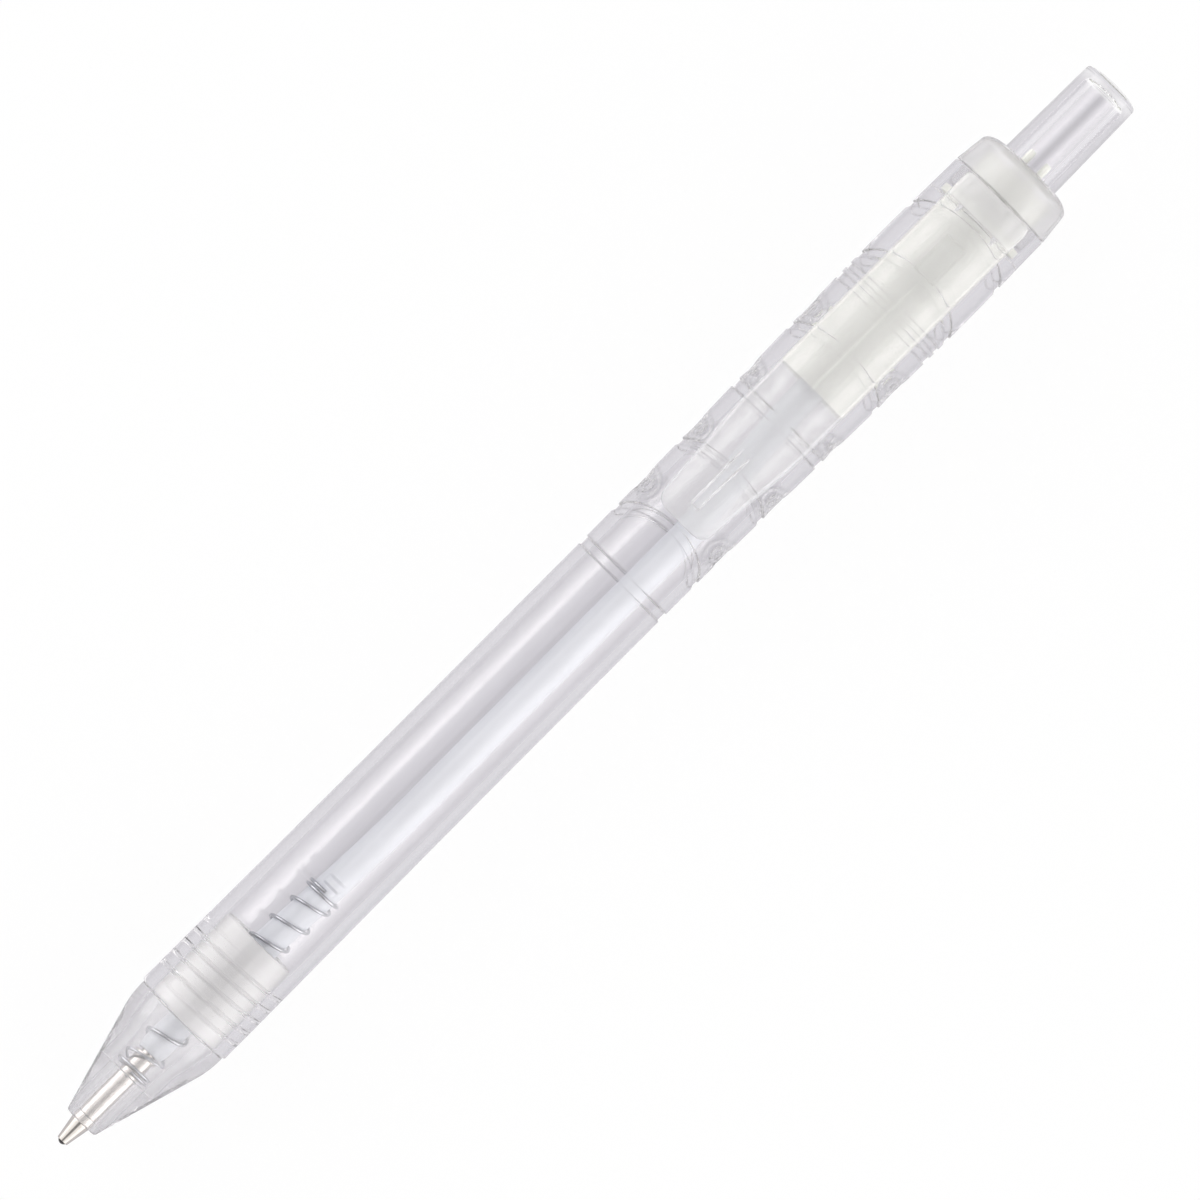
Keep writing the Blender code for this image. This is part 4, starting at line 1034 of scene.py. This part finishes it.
class PEN_OT_stage(bpy.types.Operator):
    """Sets the white floor, the soft studio and the camera over the pen"""
    bl_idname = "pen.stage"
    bl_label = "Stage"

    def floor(self, stage):
        """A plain pale floor: mostly plain white to the eye and matte for the light, so a soft shadow stays.

        Seen in the plastic it shows painted shade, as far as the button's end: a painted shadow under the pen
            and a dimmer tone beside it.
        """
        mesh = bpy.data.meshes.new("floor")
        mesh.from_pydata([(-1, -1, 0), (1, -1, 0), (1, 1, 0), (-1, 1, 0)], [], [(0, 1, 2, 3)])
        floor = bpy.data.objects.new("floor", mesh)
        bpy.context.scene.collection.objects.link(floor)
        material = bpy.data.materials.new("floor")
        material.use_nodes = True
        graph = Graph(material.node_tree)
        seen = graph.add("ShaderNodeLightPath", output="Is Camera Ray")
        through = seen.out("Is Glossy Ray").math("MAXIMUM", seen.out("Is Transmission Ray"))
        matte = graph.add("ShaderNodeBsdfDiffuse", {}, {"Color": (0.88, 0.875, 0.885, 1.0)})
        along = graph.add("ShaderNodeSeparateXYZ", {}, {0: graph.place()}, output="X")
        button_end = BALL_FRONT / MM + PEN_LENGTH
        # Painted shadow: the floor seen in the plastic is darker near the pen's axis, and plain white past
        # the button.
        tone = graph.mix(shade(stage.near_shadow_tone), shade(stage.far_shade_tone), abs(along.out("Y")).ramp(5.0, 9.0))
        unshaded = along.ramp(button_end - 2.0, button_end + 0.5).math("MAXIMUM", seen)
        tone = graph.mix(tone, PLAIN_WHITE, unshaded)
        plain = graph.add("ShaderNodeEmission", {}, {"Color": tone, "Strength": 1.0})
        glow = seen * stage.glow + through * stage.inner_glow
        mixed = graph.add("ShaderNodeMixShader", {}, {0: glow, 1: matte, 2: plain})
        graph.add("ShaderNodeOutputMaterial", {}, {"Surface": mixed})
        mesh.materials.append(material)

    def studio(self, context, stage):
        """The world: white to the eye; bright at the pen's two sides, dimmer straight above and at its ends.

        A dark patch overhead, longer towards the pen's front, draws a dark line along the button and the tip.
        """
        world = bpy.data.worlds.new("studio")
        world.use_nodes = True
        context.scene.world = world
        graph = Graph(world.node_tree)
        direction = graph.add("ShaderNodeTexCoord", output="Generated")
        along = graph.add("ShaderNodeSeparateXYZ", {}, {0: direction}, output="X")
        rise = along.out("Z")
        boxes = (1 - abs(along).ramp(0.2, 0.45)) * rise.ramp(-0.05, 0.22) * (1 - rise.ramp(0.5, 0.95))
        level = stage.horizon + (stage.overhead - stage.horizon) * rise.ramp(0.0, 0.35)
        ends = (1 - 0.7 * (0 - along).ramp(0.4, 0.85)) * (1 - 0.5 * along.ramp(0.4, 0.85))
        over_axis = (1 - abs(along.out("Y")).ramp(0.18, 0.36)) * rise.ramp(0.8, 0.9)
        patch = over_axis * (1 - along.ramp(0.16, 0.31))
        level = (level + (stage.sides - stage.overhead) * boxes) * ends * (1 - 0.75 * patch)
        seen = graph.add("ShaderNodeLightPath", output="Is Camera Ray")
        light = graph.add("ShaderNodeBackground", {}, {"Color": (1.0, 0.985, 0.975, 1.0), "Strength": level})
        white = graph.add("ShaderNodeBackground", {}, {"Color": PLAIN_WHITE, "Strength": 1.0})
        mixed = graph.add("ShaderNodeMixShader", {}, {0: seen, 1: light, 2: white})
        graph.add("ShaderNodeOutputWorld", {}, {"Surface": mixed})

    def camera(self, context, stage):
        """The camera straight above: the pen's middle is (right, up) millimetres off the image's middle."""
        right, up = -1.170, -1.299
        data = bpy.data.cameras.new("camera")
        data.lens = stage.lens
        data.sensor_width = 36.0
        data.clip_end = 10.0
        camera = bpy.data.objects.new("camera", data)
        cosine, sine = math.cos(stage.turn), math.sin(stage.turn)
        camera.location = (-(right * cosine - up * sine) * MM, -(right * sine + up * cosine) * MM,
                           AXIS_HEIGHT + stage.distance)
        camera.rotation_euler = (0.0, 0.0, stage.turn)
        context.scene.collection.objects.link(camera)
        context.scene.camera = camera

    def execute(self, context):
        stage = context.scene.pen_stage
        self.floor(stage)
        self.studio(context, stage)
        self.camera(context, stage)
        context.scene.view_settings.view_transform = "Standard"
        cycles = context.scene.cycles
        cycles.max_bounces = cycles.transmission_bounces = cycles.glossy_bounces = 96
        cycles.blur_glossy = 0.0
        return {"FINISHED"}


GROUPS = {"pen_shape": PenShape, "pen_finish": PenFinish, "pen_stage": PenStage}
OPERATORS = (PEN_OT_barrel, PEN_OT_nose_cone, PEN_OT_end_cap, PEN_OT_clip, PEN_OT_push_button,
             PEN_OT_click_mechanism, PEN_OT_refill, PEN_OT_writing_tip, PEN_OT_spring, PEN_OT_stage)


class PEN_PT_panel(bpy.types.Panel):
    """Sizes, finishes and buttons of the pen"""
    bl_label = "Pen"
    bl_space_type = "VIEW_3D"
    bl_region_type = "UI"
    bl_category = "Pen"

    def draw(self, context):
        for group, kind in GROUPS.items():
            for name in kind.__annotations__:
                self.layout.prop(getattr(context.scene, group), name)
        for operator in OPERATORS:
            self.layout.operator(operator.bl_idname)


def register():
    """Registers the settings, the operators and the panel."""
    for kind in (*GROUPS.values(), *OPERATORS, PEN_PT_panel):
        bpy.utils.register_class(kind)
    for group, kind in GROUPS.items():
        setattr(bpy.types.Scene, group, bpy.props.PointerProperty(type=kind))


def unregister():
    """Takes away what register() added."""
    for group in GROUPS:
        delattr(bpy.types.Scene, group)
    for kind in reversed((*GROUPS.values(), *OPERATORS, PEN_PT_panel)):
        bpy.utils.unregister_class(kind)


def main():
    """Builds every piece and the stage."""
    register()
    bpy.ops.pen.barrel()
    bpy.ops.pen.nose_cone()
    bpy.ops.pen.end_cap()
    bpy.ops.pen.clip()
    bpy.ops.pen.push_button()
    bpy.ops.pen.click_mechanism()
    bpy.ops.pen.refill()
    bpy.ops.pen.writing_tip()
    bpy.ops.pen.spring()
    bpy.ops.pen.stage()


if __name__ == "__main__":
    main()
